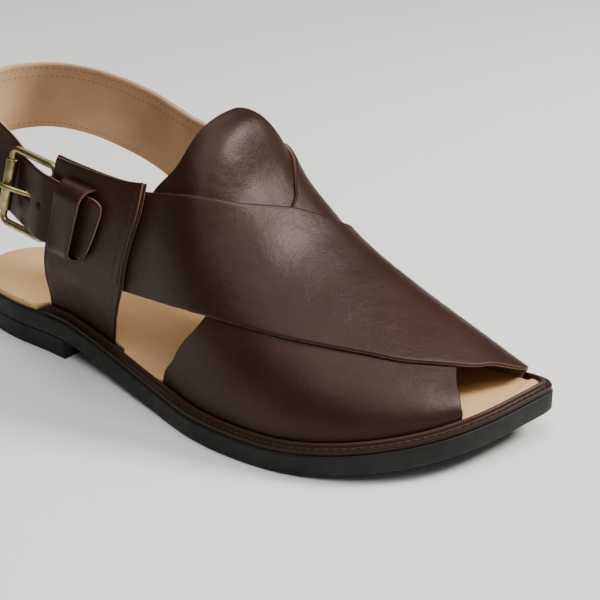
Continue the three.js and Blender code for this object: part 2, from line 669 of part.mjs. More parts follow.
// How far the last's side leans inwards going up, in degrees
function leanBeside(x, z, side, offset) {
  const reach = billetWidth / 2;
  const low = besideLast(x, z - reach, side, offset);
  const high = besideLast(x, z + reach, side, offset);
  return THREE.MathUtils.radToDeg(Math.atan2(side * (low.y - high.y), high.z - low.z));
}
function strapPath() {
  const onQuarter = (rows, side, offset) => rows.map(({ along, up }) => {
    const x = along * soleLength;
    const z = up * instepHeight;
    return { at: besideLast(x, z, side, offset), lean: leanBeside(x, z, side, offset) };
  });
  const free = strapFreeRows.map(({ along, across, up, lean }) => ({
    at: new THREE.Vector3(along * soleLength, across * soleWidth, up * instepHeight),
    lean,
  }));
  const sewn = innerQuarterOuter + 2 * gap + strapThickness / 2;
  const billet = tabOuter + 4 * gap + billetThickness / 2;
  const underRoller = rollerOut - rollerDiameter / 2 - 4 * gap - billetThickness / 2;
  const overBar = barOut + prongLoop + prongDiameter / 2 + gap + billetThickness / 2;
  return [
    ...onQuarter(strapSewnRows, 1, sewn),
    ...free,
    { at: inBuckle(-halfBuckle, 0, underRoller), lean: buckleLean },
    { at: inBuckle(-0.04 * buckleLength, 0, (underRoller + overBar) / 2), lean: buckleLean },
    { at: inBuckle(halfBuckle, 0, overBar), lean: buckleLean },
    ...onQuarter(billetRows, -1, billet),
  ];
}
const strapRows = strapPath();
const strapCurve = new THREE.CatmullRomCurve3(strapRows.map((row) => row.at), false, 'centripetal');
const billetFrom = strapSewnRows.length + strapFreeRows.length - 2;
const sewnRows = 7;
const tipRows = 0.85;
// Place on the strap with its axes along, across (up) and out, and its size there
function strapAt(t) {
  const at = strapCurve.getPoint(t);
  const axis = strapCurve.getTangent(t);
  const place = t * (strapRows.length - 1);
  const lean = THREE.MathUtils.degToRad(evenly(strapRows, 'lean', t));
  const level = new THREE.Vector3(axis.y, -axis.x, 0).normalize();
  const up = new THREE.Vector3(0, 0, 1).addScaledVector(axis, -axis.z).normalize();
  const across = up.multiplyScalar(Math.cos(lean)).addScaledVector(level, -Math.sin(lean));
  const out = axis.clone().cross(across).normalize();
  const narrowing = smoothStep((place - billetFrom) / 2);
  const sewn = THREE.MathUtils.lerp(sewnWidth, strapWidth, smoothStep(place / sewnRows));
  const width = THREE.MathUtils.lerp(sewn, billetWidth, narrowing);
  const thickness = THREE.MathUtils.lerp(strapThickness, billetThickness, narrowing);
  return { at, axis, across, out, place, width, thickness };
}
function heelStrap() {
  const last = strapRows.length - 1;
  const tipFrom = last - tipRows;
  const tipPlaces = steps(7).slice(1, 7).map((t) => (last - tipRows * (1 - t) ** 1.6) / last);
  const places = [...steps(64).filter((t) => t * last < tipFrom), tipFrom / last, ...tipPlaces, 1];
  const rings = places.map((t) => {
    const { at, across, out, place, width, thickness } = strapAt(t);
    const tip = THREE.MathUtils.clamp((place - tipFrom) / tipRows, 0, 1);
    const top = width / 2 - 0.08 * billetWidth * tip ** 6;
    const bottom = width / 2 - 0.84 * billetWidth * tip ** 1.6;
    const corner = (up, side) => (
      at.clone().addScaledVector(across, up).addScaledVector(out, side * thickness / 2)
    );
    return [corner(top, 1), corner(-bottom, 1), corner(-bottom, -1), corner(top, -1)];
  });
  return cut(
    loft(rings),
    punch(prongPlace, prongHole, holeDiameter),
    punch(prongPlace + holeSpacing, holeDiameter, holeDiameter),
  );
}
// Long hole through everything at a place along the buckle
function punch(place, length, width) {
  const ring = (out) => steps(12).slice(0, 12).map((t) => {
    const angle = 2 * Math.PI * (t + 1 / 24);
    const end = Math.sign(Math.cos(angle)) * (length - width) / 2;
    return inBuckle(place + end + (width / 2) * Math.cos(angle), (width / 2) * Math.sin(angle), out);
  });
  return loft([ring(-8), ring(14)]);
}

// The keeper bridges the billet: a band over it whose feet stand on the tab
function keeper() {
  const halfInner = billetWidth / 2 + 5 * gap;
  const over = billetThickness / 2 + keeperRoom;
  const foot = -8;
  const profile = (thickness) => {
    const half = halfInner + thickness;
    const radius = keeperCorner + thickness;
    const corner = (side) => steps(5).map((t) => {
      const angle = (Math.PI / 2) * t;
      return [side * (half - radius * (1 - Math.cos(angle))), over - keeperCorner + radius * Math.sin(angle)];
    });
    return [[-half, foot], ...corner(-1), ...corner(1).reverse(), [half, foot]];
  };
  const middle = 1 - keeperRow / (strapRows.length - 1);
  const halfShare = keeperWidth / 2 / strapCurve.getLength();
  const rings = steps(4).map((t) => {
    const { at, axis, across, out } = strapAt(middle + THREE.MathUtils.lerp(-halfShare, halfShare, t));
    const place = ([up, side]) => at.clone()
      .addScaledVector(across, up)
      .addScaledVector(out, side)
      .addScaledVector(axis, (t * keeperSkew * up) / halfInner);
    return [...profile(keeperLeather).map(place), ...profile(0).reverse().map(place)];
  });
  const ground = quarterSheet(outerQuarterRows, -1, 24, 16, tabOuter + gap, -6);
  const roll = rod(...clearEnds(halfInside, halfBuckle, barOut), sleeveDiameter + 4 * gap, 14);
  return cut(loft(rings), ground, roll);
}

const looks = {
  leather: { color: 0x3b241c, roughness: 0.45, metalness: 0 },
  tan: { color: 0xc79a70, roughness: 0.7, metalness: 0 },
  rubber: { color: 0x1c1d1b, roughness: 0.8, metalness: 0 },
  brass: { color: 0x8d7648, roughness: 0.35, metalness: 1 },
};
const pieces = [
  ['outsole', outsole(), looks.rubber],
  ['heel', heel(), looks.rubber],
  ['insole', insole(), looks.tan],
  ['welt', welt(), looks.leather],
  ['upper', upper(), looks.leather],
  ['quarter_outer', outerQuarter(), looks.leather],
  ['quarter_inner', innerQuarter(), looks.leather],
  ['heel_strap', heelStrap(), looks.leather],
  ['keeper', keeper(), looks.leather],
  ['buckle_frame', buckleFrame(), looks.brass],
  ['buckle_roller', buckleRoller(), looks.brass],
  ['buckle_prong', buckleProng(), looks.brass],
];

// The origin is on the floor under the middle of the whole shoe
const shoe = new THREE.Group();
pieces.forEach(([name, geometry, look]) => {
  const mesh = new THREE.Mesh(geometry, new THREE.MeshStandardMaterial(look));
  mesh.name = name;
  shoe.add(mesh);
});
const box = new THREE.Box3().setFromObject(shoe);
const middle = box.getCenter(new THREE.Vector3());
shoe.position.set(-middle.x, -middle.y, -box.min.z);

export default shoe;
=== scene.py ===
import math

import bpy
import numpy as np
from mathutils import Matrix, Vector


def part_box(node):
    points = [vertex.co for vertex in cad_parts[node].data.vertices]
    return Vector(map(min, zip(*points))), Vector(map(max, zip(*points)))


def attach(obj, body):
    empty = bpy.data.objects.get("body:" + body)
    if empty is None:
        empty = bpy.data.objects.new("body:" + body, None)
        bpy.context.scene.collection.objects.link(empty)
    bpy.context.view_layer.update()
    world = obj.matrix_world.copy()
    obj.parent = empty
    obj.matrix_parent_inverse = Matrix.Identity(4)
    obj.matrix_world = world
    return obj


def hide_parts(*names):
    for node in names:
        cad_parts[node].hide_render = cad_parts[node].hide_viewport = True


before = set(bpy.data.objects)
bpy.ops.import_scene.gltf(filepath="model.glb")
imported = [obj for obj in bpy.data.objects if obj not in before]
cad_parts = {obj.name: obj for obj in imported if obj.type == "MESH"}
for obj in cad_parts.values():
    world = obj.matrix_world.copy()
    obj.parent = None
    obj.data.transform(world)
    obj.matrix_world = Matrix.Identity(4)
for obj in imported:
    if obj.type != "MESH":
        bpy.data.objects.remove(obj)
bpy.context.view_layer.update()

mm = 0.001

# Sizes of the shoe in millimetres, the same as the solids have. X runs from the back of the heel.
shoe = {
    "soleLength": 290.0, "soleWidth": 115.0, "outsoleThickness": 9.0, "heelHeight": 9.5,
    "heelLength": 78.0, "toeSpring": 12.0, "insoleThickness": 3.0, "instepHeight": 109.0,
    "weltWidth": 5.5, "weltThickness": 2.3, "beadHeight": 1.5, "beadWidth": 2.2,
    "leather": 1.9, "gap": 0.3, "quarterRoom": 0.2, "tabLeather": 1.5, "archEnd": 0.586, "springStart": 0.707,
}
soleLength, soleWidth = shoe["soleLength"], shoe["soleWidth"]
instepHeight, weltWidth = shoe["instepHeight"], shoe["weltWidth"]
leather, gap = shoe["leather"], shoe["gap"]
archStart = (shoe["heelLength"] + 2) / soleLength

# Outline: along as a share of soleLength, outer and inner edge as shares of soleWidth
soleRows = np.array([
    (0.010, -0.098, 0.096), (0.034, -0.183, 0.174), (0.076, -0.246, 0.230), (0.145, -0.289, 0.268),
    (0.235, -0.304, 0.280), (0.345, -0.341, 0.300), (0.483, -0.428, 0.370), (0.600, -0.509, 0.452),
    (0.690, -0.523, 0.478), (0.766, -0.497, 0.475), (0.834, -0.428, 0.452), (0.890, -0.330, 0.425),
    (0.934, -0.209, 0.394), (0.967, -0.052, 0.364)])
toeRows = np.array([(0.9880, 0.130), (0.9990, 0.285), (0.9880, 0.328)])
# Last: along, height, ridge, shoulder, crown, flare
lastRows = np.array([
    (0.200, 0.908, 0.043, 0.42, 0.80, 0.10), (0.340, 0.921, 0.052, 0.48, 0.80, 0.09),
    (0.450, 0.945, 0.070, 0.70, 0.80, 0.04), (0.500, 1.000, 0.076, 0.82, 0.70, 0.02),
    (0.540, 0.965, 0.084, 0.90, 0.70, 0.00), (0.580, 0.785, 0.092, 0.93, 0.70, 0.00),
    (0.620, 0.668, 0.098, 0.94, 0.76, 0.00), (0.670, 0.541, 0.107, 0.95, 0.80, 0.00),
    (0.760, 0.381, 0.122, 0.90, 0.80, 0.00), (0.845, 0.239, 0.140, 0.85, 0.75, 0.00),
    (0.914, 0.118, 0.157, 0.80, 0.70, 0.00), (0.980, 0.010, 0.209, 0.80, 0.85, 0.00)])
# Cut edges: rear, rear girth, front, front girth
footGirth = 1.05
strapOverRows = np.array([
    (0.435, -0.511, 0.402, -0.857), (0.447, -0.507, 0.421, -0.849), (0.458, -0.508, 0.440, -0.843),
    (0.469, -0.516, 0.460, -0.842), (0.480, -0.528, 0.480, -0.853), (0.492, -0.537, 0.500, -0.861),
    (0.504, -0.538, 0.520, -0.855), (0.516, -0.530, 0.545, -0.834),
    (0.534, -0.503, 0.572, -0.788), (0.552, -0.447, 0.608, -0.715),
    (0.575, -0.322, 0.666, -0.610), (0.600, -0.180, 0.722, -0.520), (0.618, -0.075, 0.800, -0.380),
    (0.639, 0.035, 0.848, -0.290), (0.651, 0.205, 0.888, -0.145), (0.642, 0.450, 0.919, -0.005),
    (0.618, 0.700, 0.945, 0.230), (0.572, 0.890, 0.953, 0.500), (0.535, 1.000, 0.943, 1.000),
    (0.535, footGirth, 0.943, footGirth)])
strapUnderRows = np.array([
    (0.435, 0.500, 0.402, 0.851), (0.480, 0.494, 0.480, 0.850),
    (0.516, 0.475, 0.545, 0.828), (0.556, 0.365, 0.608, 0.715),
    (0.576, 0.215, 0.666, 0.610), (0.597, 0.060, 0.722, 0.510), (0.616, -0.060, 0.790, 0.370),
    (0.624, -0.220, 0.842, 0.200), (0.626, -0.430, 0.880, 0.000), (0.611, -0.630, 0.906, -0.200),
    (0.580, -0.825, 0.926, -0.420), (0.536, -0.952, 0.938, -0.750), (0.503, -1.000, 0.940, -1.000),
    (0.503, -footGirth, 0.940, -footGirth)])
tongueRows = np.array([
    (0.440, -0.600, 0.520, -0.600), (0.455, -0.485, 0.600, -0.500), (0.484, -0.418, 0.650, -0.380),
    (0.491, -0.312, 0.672, -0.250), (0.492, -0.170, 0.682, -0.120), (0.492, -0.030, 0.685, 0.000),
    (0.490, 0.120, 0.682, 0.120), (0.486, 0.260, 0.672, 0.250), (0.478, 0.360, 0.650, 0.380),
    (0.460, 0.460, 0.600, 0.500), (0.440, 0.580, 0.520, 0.600)])
# Quarters and tab: the same columns, the girth counted to their own side
outerQuarterRows = np.array([
    (0.272, 0.500, 0.456, 0.478), (0.266, 0.580, 0.456, 0.580), (0.262, 0.670, 0.445, 0.670),
    (0.252, 0.760, 0.432, 0.760), (0.238, 0.840, 0.423, 0.840), (0.230, 0.900, 0.410, 0.900),
    (0.222, 0.950, 0.391, 0.950), (0.222, 1.000, 0.376, 1.000), (0.222, footGirth, 0.374, footGirth)])
innerQuarterRows = np.array([
    (0.384, 0.520, 0.446, 0.510), (0.376, 0.590, 0.448, 0.590), (0.358, 0.670, 0.439, 0.670),
    (0.332, 0.760, 0.427, 0.760), (0.300, 0.840, 0.417, 0.840), (0.272, 0.900, 0.408, 0.900),
    (0.260, 0.950, 0.398, 0.950), (0.256, 1.000, 0.393, 1.000), (0.256, footGirth, 0.393, footGirth)])
tabRows = np.array([
    (0.276, 0.505, 0.4545, 0.476), (0.270, 0.580, 0.4545, 0.580), (0.266, 0.670, 0.4435, 0.670),
    (0.264, 0.760, 0.4305, 0.760), (0.264, 0.830, 0.4225, 0.830)])


def smoothStep(t):
    # t squared times (3 - 2t), from 0 to 1
    t = np.clip(t, 0, 1)
    return t * t * (3 - 2 * t)


def between(keys, values, place):
    # cubic pieces through the rows, whose slope at a row is that of the line between its neighbours
    last = len(keys) - 1
    i = np.clip(np.searchsorted(keys, place, side="left") - 1, 0, last - 1)
    low, high = np.clip(np.arange(last + 1) - 1, 0, last), np.clip(np.arange(last + 1) + 1, 0, last)
    slope = (values[high] - values[low]) / (keys[high] - keys[low])
    span = keys[i + 1] - keys[i]
    t = np.clip((place - keys[i]) / span, 0, 1)
    rise = values[i + 1] - values[i]
    a, b = slope[i] * span - rise, rise - slope[i + 1] * span
    return (1 - t) * values[i] + t * values[i + 1] + t * (1 - t) * ((1 - t) * a + t * b)


def evenly(rows, column, share):
    # a column of a table at a share of its rows, which lie at even steps
    return between(np.linspace(0, 1, len(rows)), rows[:, column], np.asarray(share, float))


def catmull(points, closed, share):
    # centripetal Catmull-Rom curve, each span taking an equal part of the share
    count = len(points)
    spans = count if closed else count - 1
    place = np.clip(np.asarray(share, float), 0, 1) * spans
    i = np.minimum(np.floor(place).astype(int), spans - 1)
    t = (place - i)[..., None]
    if closed:
        p = [points[(i + k) % count] for k in (-1, 0, 1, 2)]
    else:
        longer = np.vstack([2 * points[:1] - points[1:2], points, 2 * points[-1:] - points[-2:-1]])
        p = [longer[i + k] for k in range(4)]
    d = [np.maximum(np.linalg.norm(p[k + 1] - p[k], axis=-1, keepdims=True) ** 0.5, 1e-4) for k in range(3)]
    start = d[1] * ((p[1] - p[0]) / d[0] - (p[2] - p[0]) / (d[0] + d[1]) + (p[2] - p[1]) / d[1])
    end = d[1] * ((p[2] - p[1]) / d[1] - (p[3] - p[1]) / (d[1] + d[2]) + (p[3] - p[2]) / d[2])
    square = -3 * p[1] + 3 * p[2] - 2 * start - end
    cube = 2 * p[1] - 2 * p[2] + start + end
    return p[1] + t * (start + t * (square + t * cube))


def soleBottom(x):
    # flat under heel and ball, raised between them by the arch and at the end by the toe spring
    arch = 1 - np.clip((x / soleLength - archStart) / (shoe["archEnd"] - archStart), 0, 1)
    toe = np.clip((x / soleLength - shoe["springStart"]) / (1 - shoe["springStart"]), 0, 1)
    return shoe["heelHeight"] * arch ** 1.6 + shoe["toeSpring"] * toe ** 1.7


def soleTop(x):
    # the bottom plus the outsole's thickness
    return soleBottom(x) + shoe["outsoleThickness"]


def insoleTop(x):
    # the outsole's top plus the insole's thickness
    return soleTop(x) + shoe["insoleThickness"]


def lengthAlong(points, axis=0):
    # distance from the first point as the sum of the steps, along rows or columns
    steps = np.linalg.norm(np.diff(points, axis=axis), axis=-1)
    return np.concatenate([np.zeros_like(np.take(steps, [0], axis)), np.cumsum(steps, axis)], axis)


def soleOutline(count):
    # even steps along the closed curve through the rows, with the inward normal at each
    scale = np.array([soleLength, soleWidth])
    points = np.vstack([[0, 0], soleRows[:, [0, 1]] * scale, toeRows * scale,
                        soleRows[::-1][:, [0, 2]] * scale])
    dense = catmull(points, True, np.linspace(0, 1, 8 * count + 1))
    length = lengthAlong(dense)
    even = np.linspace(0, length[-1], count + 1)[:-1]
    p = np.stack([np.interp(even, length, dense[:, k]) for k in (0, 1)], -1)
    along = np.roll(p, -1, 0) - np.roll(p, 1, 0)
    along /= np.linalg.norm(along, axis=1, keepdims=True)
    return p, np.stack([-along[:, 1], along[:, 0]], -1)


outline, inward = soleOutline(1440)
featherLine = outline + inward * weltWidth


def splitSides(line):
    # the closed line cut at its ends into the outer and inner side, each with x rising
    heel, toe = line[:, 0].argmin(), line[:, 0].argmax()
    rolled = np.roll(line, -heel, axis=0)
    reach = (toe - heel) % len(line)
    sides = [rolled[:reach + 1], np.vstack([rolled[reach:], rolled[:1]])[::-1]]
    return [(np.maximum.accumulate(s[:, 0]) + np.arange(len(s)) * 1e-7, s[:, 1]) for s in sides]


outerFeather, innerFeather = splitSides(featherLine)
featherEnd = featherLine[:, 0].max()


def lastPoint(x, girth):
    # half a section on each side of the ridge: across by a power of the sine, up by a power of the cosine
    x, girth = np.broadcast_arrays(np.asarray(x, float), np.asarray(girth, float))
    place, inside = x / soleLength, np.minimum(x, featherEnd - 0.05)
    outerEdge, innerEdge = np.interp(inside, *outerFeather), np.interp(inside, *innerFeather)
    columns = [between(lastRows[:, 0], lastRows[:, k], place) for k in range(1, 6)]
    height, ridge, shoulder, crown, flare = columns
    g = np.clip(girth, -1, 1)
    ridge = np.clip(ridge * soleWidth, outerEdge + 1, innerEdge - 1)
    half = np.where(g < 0, ridge - outerEdge, innerEdge - ridge) * (1 + flare * np.cos(np.pi / 2 * g))
    across = np.abs(np.sin(np.pi / 2 * g)) ** shoulder
    up = np.abs(np.cos(np.pi / 2 * g)) ** crown
    below = np.maximum(np.abs(girth) - 1, 0) / (footGirth - 1)
    z = insoleTop(x) + height * instepHeight * up - below * (shoe["insoleThickness"] - gap)
    return np.stack([x, ridge + half * np.sign(g) * across, z], -1)


def unit(v):
    # a vector divided by its length
    return v / np.maximum(np.linalg.norm(v, axis=-1, keepdims=True), 1e-12)


def lastNormal(x, girth):
    # cross product of the steps along and around the last, and level at the feather edge
    g = np.clip(girth, -0.998, 0.998)
    forwards = lastPoint(x + 0.15, g) - lastPoint(x - 0.15, g)
    normal = unit(np.cross(forwards, lastPoint(x, g + 0.001) - lastPoint(x, g - 0.001)))
    level = unit(normal * [1, 1, 0])
    return np.where((np.abs(girth) >= 1)[..., None], level, normal)


def lastSurface(x, girth, offset):
    # a point of the last plus its normal times the offset
    x, girth = np.broadcast_arrays(np.asarray(x, float), np.asarray(girth, float))
    return lastPoint(x, girth) + lastNormal(x, girth) * np.asarray(offset)[..., None]


def besideLast(x, z, side, offset):
    # the surface point of one side at a height, by halving the girth between 0.2 and 1
    low, high = np.full(np.shape(x), 0.2), np.full(np.shape(x), 1.0)
    for _ in range(40):
        middle = (low + high) / 2
        above = lastSurface(x, side * middle, offset)[..., 2] > z
        low, high = np.where(above, middle, low), np.where(above, high, middle)
    return lastSurface(x, side * low, offset)


# The shoe frame has its origin under the middle, so the heel's place is read from the outsole's box
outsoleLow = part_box("outsole")[0]
heelShift = np.array([outsoleLow.x / mm - outline[:, 0].min(), outsoleLow.y / mm - outline[:, 1].min(), 0])


def meshObject(name, vertices, faces, material, uv=None, marks=None):
    # object at the origin from points in millimetres of the heel frame, with its UV map and attributes
    mesh = bpy.data.meshes.new(name)
    mesh.from_pydata(((np.asarray(vertices, float) + heelShift) * mm).tolist(), [], faces)
    if uv is not None:
        corners = np.zeros(len(mesh.loops), np.int32)
        mesh.loops.foreach_get("vertex_index", corners)
        mesh.uv_layers.new(name="UVMap").data.foreach_set("uv", (np.asarray(uv, float)[corners] * mm).ravel())
    for key, values in (marks or {}).items():
        mesh.attributes.new(key, "FLOAT", "POINT").data.foreach_set("value", np.asarray(values, np.float32))
    mesh.update()
    mesh.validate()
    mesh.shade_smooth()
    made = bpy.data.objects.new(name, mesh)
    bpy.context.scene.collection.objects.link(made)
    made.data.materials.append(material)
    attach(made, "root")
    return made


def outwardObject(name, vertices, faces, material, uv=None, marks=None):
    # the sum of the corners' triple products is six times the volume, and below zero the faces point inwards
    faces = np.asarray(faces)
    corner = [vertices[faces[:, k]] for k in range(faces.shape[1])]
    volume = sum(np.einsum("ij,ij->i", corner[0], np.cross(corner[k], corner[k + 1])).sum()
                 for k in range(1, len(corner) - 1))
    return meshObject(name, vertices, (faces[:, ::-1] if volume < 0 else faces).tolist(), material, uv, marks)


def recalculated(made):
    # the same object with the normals of its closed mesh turned outwards
    bpy.context.view_layer.objects.active = made
    made.select_set(True)
    bpy.ops.object.mode_set(mode="EDIT")
    bpy.ops.mesh.select_all(action="SELECT")
    bpy.ops.mesh.normals_make_consistent(inside=False)
    bpy.ops.object.mode_set(mode="OBJECT")
    made.select_set(False)
    return made


def quads(index, closedRows=False, closedColumns=False):
    # one face for each cell of a grid of vertex numbers
    if closedRows:
        index = np.vstack([index, index[:1]])
    if closedColumns:
        index = np.hstack([index, index[:, :1]])
    return np.stack([index[:-1, :-1], index[1:, :-1], index[1:, 1:], index[:-1, 1:]], -1).reshape(-1, 4)


def gridFaces(rows, columns, closedRows=False):
    # faces of a grid whose columns close to a ring, with a cap at each end where the rows don't close
    index = np.arange(rows * columns).reshape(rows, columns)
    caps = [] if closedRows else [index[0].tolist(), index[-1][::-1].tolist()]
    return quads(index, closedRows, True).tolist() + caps


def roundedPlaces(length, edge, step):
    # places from 0 to 1 that crowd within edge of both ends, as on a quarter circle
    turn = edge * (1 - np.cos(np.linspace(0, np.pi / 2, 6)))
    inner = np.linspace(edge, length - edge, max(int((length - 2 * edge) / step), 2) + 1)[1:-1]
    return np.concatenate([turn, inner, (length - turn)[::-1]]) / length


def roundedEdge(radius, steps=5):
    # quarter circle from side to top, as pairs of distances from the side and from the top
    turn = np.linspace(0, np.pi / 2, steps)
    return [(radius * (1 - math.cos(a)), radius * (1 - math.sin(a))) for a in turn]


def roundness(distance, edge):
    # height of a quarter circle at a distance from the edge, 0 at the edge and 1 inside
    return np.sqrt(1 - (1 - np.clip(distance / edge, 0, 1)) ** 2)


def shellObject(name, outer, inner, material, uv, marks):
    # closed shell of two grids that share their border; lining is 0 on the outer face and 1 on the inner
    rows, columns = outer.shape[:2]
    top = np.arange(rows * columns).reshape(rows, columns)
    low = top.copy()
    low[1:-1, 1:-1] = rows * columns + np.arange((rows - 2) * (columns - 2)).reshape(rows - 2, -1)
    inside = (slice(1, -1), slice(1, -1))
    vertices = np.vstack([outer.reshape(-1, 3), inner[inside].reshape(-1, 3)])
    faces = np.vstack([quads(top), quads(low)[:, ::-1]])

    def both(a, b):
        # a value of every outer point, then of the inner points inside the border
        parts = [a.reshape(rows * columns, -1), b[inside].reshape(len(vertices) - rows * columns, -1)]
        return np.concatenate(parts)
    border = np.ones((rows, columns))
    border[inside] = 0
    lining = both(0.5 * border, np.ones((rows, columns))).ravel()
    values = {key: both(v, v).ravel() for key, v in marks.items()}
    return outwardObject(name, vertices, faces, material, both(uv, uv), {"lining": lining, **values})


def sheetShell(name, edges, length, width, outer, inner, material, step=1.6, relief=None):
    # Leather between a rear and a front edge on the last. Edges gives rear, rear girth, front and front girth
    # at a share along the sheet, and the face between them is a straight blend of place and girth. Outer and
    # inner are its offsets by girth, and close in on their middle along a quarter circle at every edge.
    edge = leather / 2
    u, v = roundedPlaces(length, edge, step), roundedPlaces(width, edge, step)
    rear, rearGirth, front, frontGirth = [e[:, None] for e in edges(u)]
    x = (rear + (front - rear) * v) * soleLength
    girth = rearGirth + (frontGirth - rearGirth) * v
    middle, normal = lastPoint(x, girth), lastNormal(x, girth)
    along = lengthAlong(middle, 0)
    across = lengthAlong(middle, 1)
    ends = roundness(np.minimum(along, along[-1:] - along), edge)
    sides = roundness(np.minimum(across, across[:, -1:] - across), edge)
    centre, half = (outer(girth) + inner(girth)) / 2, (outer(girth) - inner(girth)) / 2
    lift = relief(across) if relief else 0
    top, low = [middle + normal * (centre + (face * half + lift) * ends * sides)[..., None] for face in (1, -1)]
    marks = {"cut": 1 - np.minimum(ends, sides)}
    return shellObject(name, top, low, material, np.stack([along, across], -1), marks), (top, normal, u)


footBlend = 0.12  # share of the girth over which the layers come down to the feather edge


def layered(girth):
    # 1 where leather layers lie on each other, 0 at the foot
    return smoothStep((1 - np.abs(girth)) / footBlend)


# Materials: nodes on Object coordinates, with whole-surface values on the shader's own sockets
middleRange, fleckRange = (0.3, 0.7), (0.35, 0.7)

def feed(tree, socket, value):
    # a link from another node's output, or else a number or colour on the socket itself
    if isinstance(value, bpy.types.NodeSocket):
        tree.links.new(value, socket)
    else:
        socket.default_value = (*value, 1) if isinstance(value, tuple) else value


def addNode(tree, kind, output, inputs, **settings):
    # one output of a new node with its inputs fed
    node = tree.nodes.new("ShaderNode" + kind)
    for key, value in settings.items():
        setattr(node, key, value)
    for key, value in inputs.items():
        feed(tree, node.inputs[key], value)
    return node.outputs[output]


def newMaterial(name):
    # an empty node tree with a shader, and the place on the object
    made = bpy.data.materials.new(name)
    made.use_nodes = True
    tree = made.node_tree
    tree.nodes.clear()
    shader = tree.nodes.new("ShaderNodeBsdfPrincipled")
    out = tree.nodes.new("ShaderNodeOutputMaterial")
    tree.links.new(shader.outputs["BSDF"], out.inputs["Surface"])
    return made, tree, shader, addNode(tree, "TexCoord", "Object", {})


def setSockets(tree, shader, values):
    # each named socket of the shader fed
    for key, value in values.items():
        feed(tree, shader.inputs[key], value)


def noise(tree, place, scale, detail=3.0, roughness=0.55):
    # fractal noise at a number of features per metre
    inputs = {"Vector": place, "Scale": scale, "Detail": detail, "Roughness": roughness}
    return addNode(tree, "TexNoise", "Fac", inputs)


def ramp(tree, value, low, high, start=0.0, end=1.0):
    # start up to low, end from high on, and a straight line between
    inputs = {"Value": value, "From Min": low, "From Max": high, "To Min": start, "To Max": end}
    return addNode(tree, "MapRange", "Result", inputs)


def cloudy(tree, place, scale, detail, start=0.0, end=1.0):
    # noise, most of which lies in its middle range, spread from start to end
    return ramp(tree, noise(tree, place, scale, detail), *middleRange, start, end)


def mixColours(tree, factor, first, second):
    # first times (1 - factor) plus second times factor
    return addNode(tree, "Mix", 2, {0: factor, 6: first, 7: second}, data_type="RGBA")


def mark(tree, name):
    # the mesh's own attribute
    return addNode(tree, "Attribute", "Fac", {}, attribute_name=name)


def bump(tree, height, depth, before=None):
    # a height times a depth in metres over the relief before it
    inputs = {"Height": height, "Distance": depth, "Strength": 1.0}
    return addNode(tree, "Bump", "Normal", {**inputs, "Normal": before} if before is not None else inputs)


def leatherMaterial(name, look):
    # polished leather: cloudy dye, fine grain, a lighter cut edge, and a lining where the mesh marks it
    made, tree, shader, place = newMaterial(name)
    cloud = cloudy(tree, place, look["cloudScale"], 4.0)
    colour = mixColours(tree, cloud, look["dark"], look["light"])
    flecks = ramp(tree, noise(tree, place, look["fleckScale"], 3.0, 0.7), *fleckRange, 0.0, look["fleck"])
    colour = mixColours(tree, flecks, colour, look["fleckColour"])
    if "cut" in look:
        colour = mixColours(tree, ramp(tree, mark(tree, "cut"), *look["cutFrom"]), colour, look["cut"])
    rough = cloudy(tree, place, look["polishScale"], 5.0, *look["roughness"])
    if "lining" in look:
        inside = ramp(tree, mark(tree, "lining"), *look["liningFrom"])
        colour = mixColours(tree, inside, colour, mixColours(tree, cloud, look["liningDark"], look["lining"]))
        duller = addNode(tree, "Math", 0, {0: inside, 1: look["liningRoughness"]}, operation="MULTIPLY")
        rough = addNode(tree, "Math", 0, {0: rough, 1: duller}, operation="ADD")
    normal = bump(tree, noise(tree, place, look["waveScale"], 3.0, 0.5), look["waveDepth"])
    normal = bump(tree, noise(tree, place, look["grainScale"], 4.0, 0.65), look["grainDepth"], normal)
    normal = bump(tree, noise(tree, place, look["poreScale"], 2.0, 0.5), look["poreDepth"], normal)
    setSockets(tree, shader, {"Base Color": colour, "Roughness": rough, "Normal": normal, "IOR": look["ior"],
                              "Specular IOR Level": look["specular"], "Specular Tint": look["tint"]})
    return made


brownLook = {
    "dark": (0.0200, 0.0074, 0.0045), "light": (0.0320, 0.0128, 0.0082), "cloudScale": 22.0,
    "fleckScale": 900.0, "fleck": 0.20, "fleckColour": (0.012, 0.006, 0.005),
    "cut": (0.115, 0.062, 0.050), "cutFrom": (0.45, 0.95),
    "lining": (0.31, 0.21, 0.125), "liningDark": (0.24, 0.155, 0.090),
    "liningFrom": (0.55, 0.8), "liningRoughness": 0.25,
    "polishScale": 40.0, "roughness": (0.34, 0.45), "specular": 0.52, "ior": 1.28, "tint": (1.0, 0.80, 0.70),
    "grainScale": 900.0, "grainDepth": 0.00010, "poreScale": 2600.0, "poreDepth": 0.00004,
    "waveScale": 55.0, "waveDepth": 0.0006,
}
tanLook = {
    **brownLook, "dark": (0.56, 0.335, 0.155), "light": (0.71, 0.440, 0.215),
    "fleckColour": (0.30, 0.18, 0.10), "fleck": 0.25, "roughness": (0.55, 0.68), "specular": 0.5,
    "grainDepth": 0.00008, "waveDepth": 0.0003,
}
for key in ("cut", "lining"):
    del tanLook[key]
strapLook = {
    **brownLook, "lining": (0.54, 0.345, 0.205), "liningDark": (0.38, 0.235, 0.130),
    "liningFrom": (0.3, 0.6), "waveDepth": 0.0004, "cut": (0.22, 0.125, 0.095),
}
weltLook = {
    **brownLook, "dark": (0.012, 0.0050, 0.0034), "light": (0.019, 0.0080, 0.0055),
    "cut": (0.036, 0.0155, 0.0100), "cutFrom": (0.1, 0.9), "roughness": (0.36, 0.46), "waveDepth": 0.0001,
}
keeperLook = {
    **brownLook, "liningFrom": (2.0, 3.0), "cut": (0.16, 0.085, 0.068), "cutFrom": (0.2, 0.7),
}
brown = leatherMaterial("brown leather", brownLook)
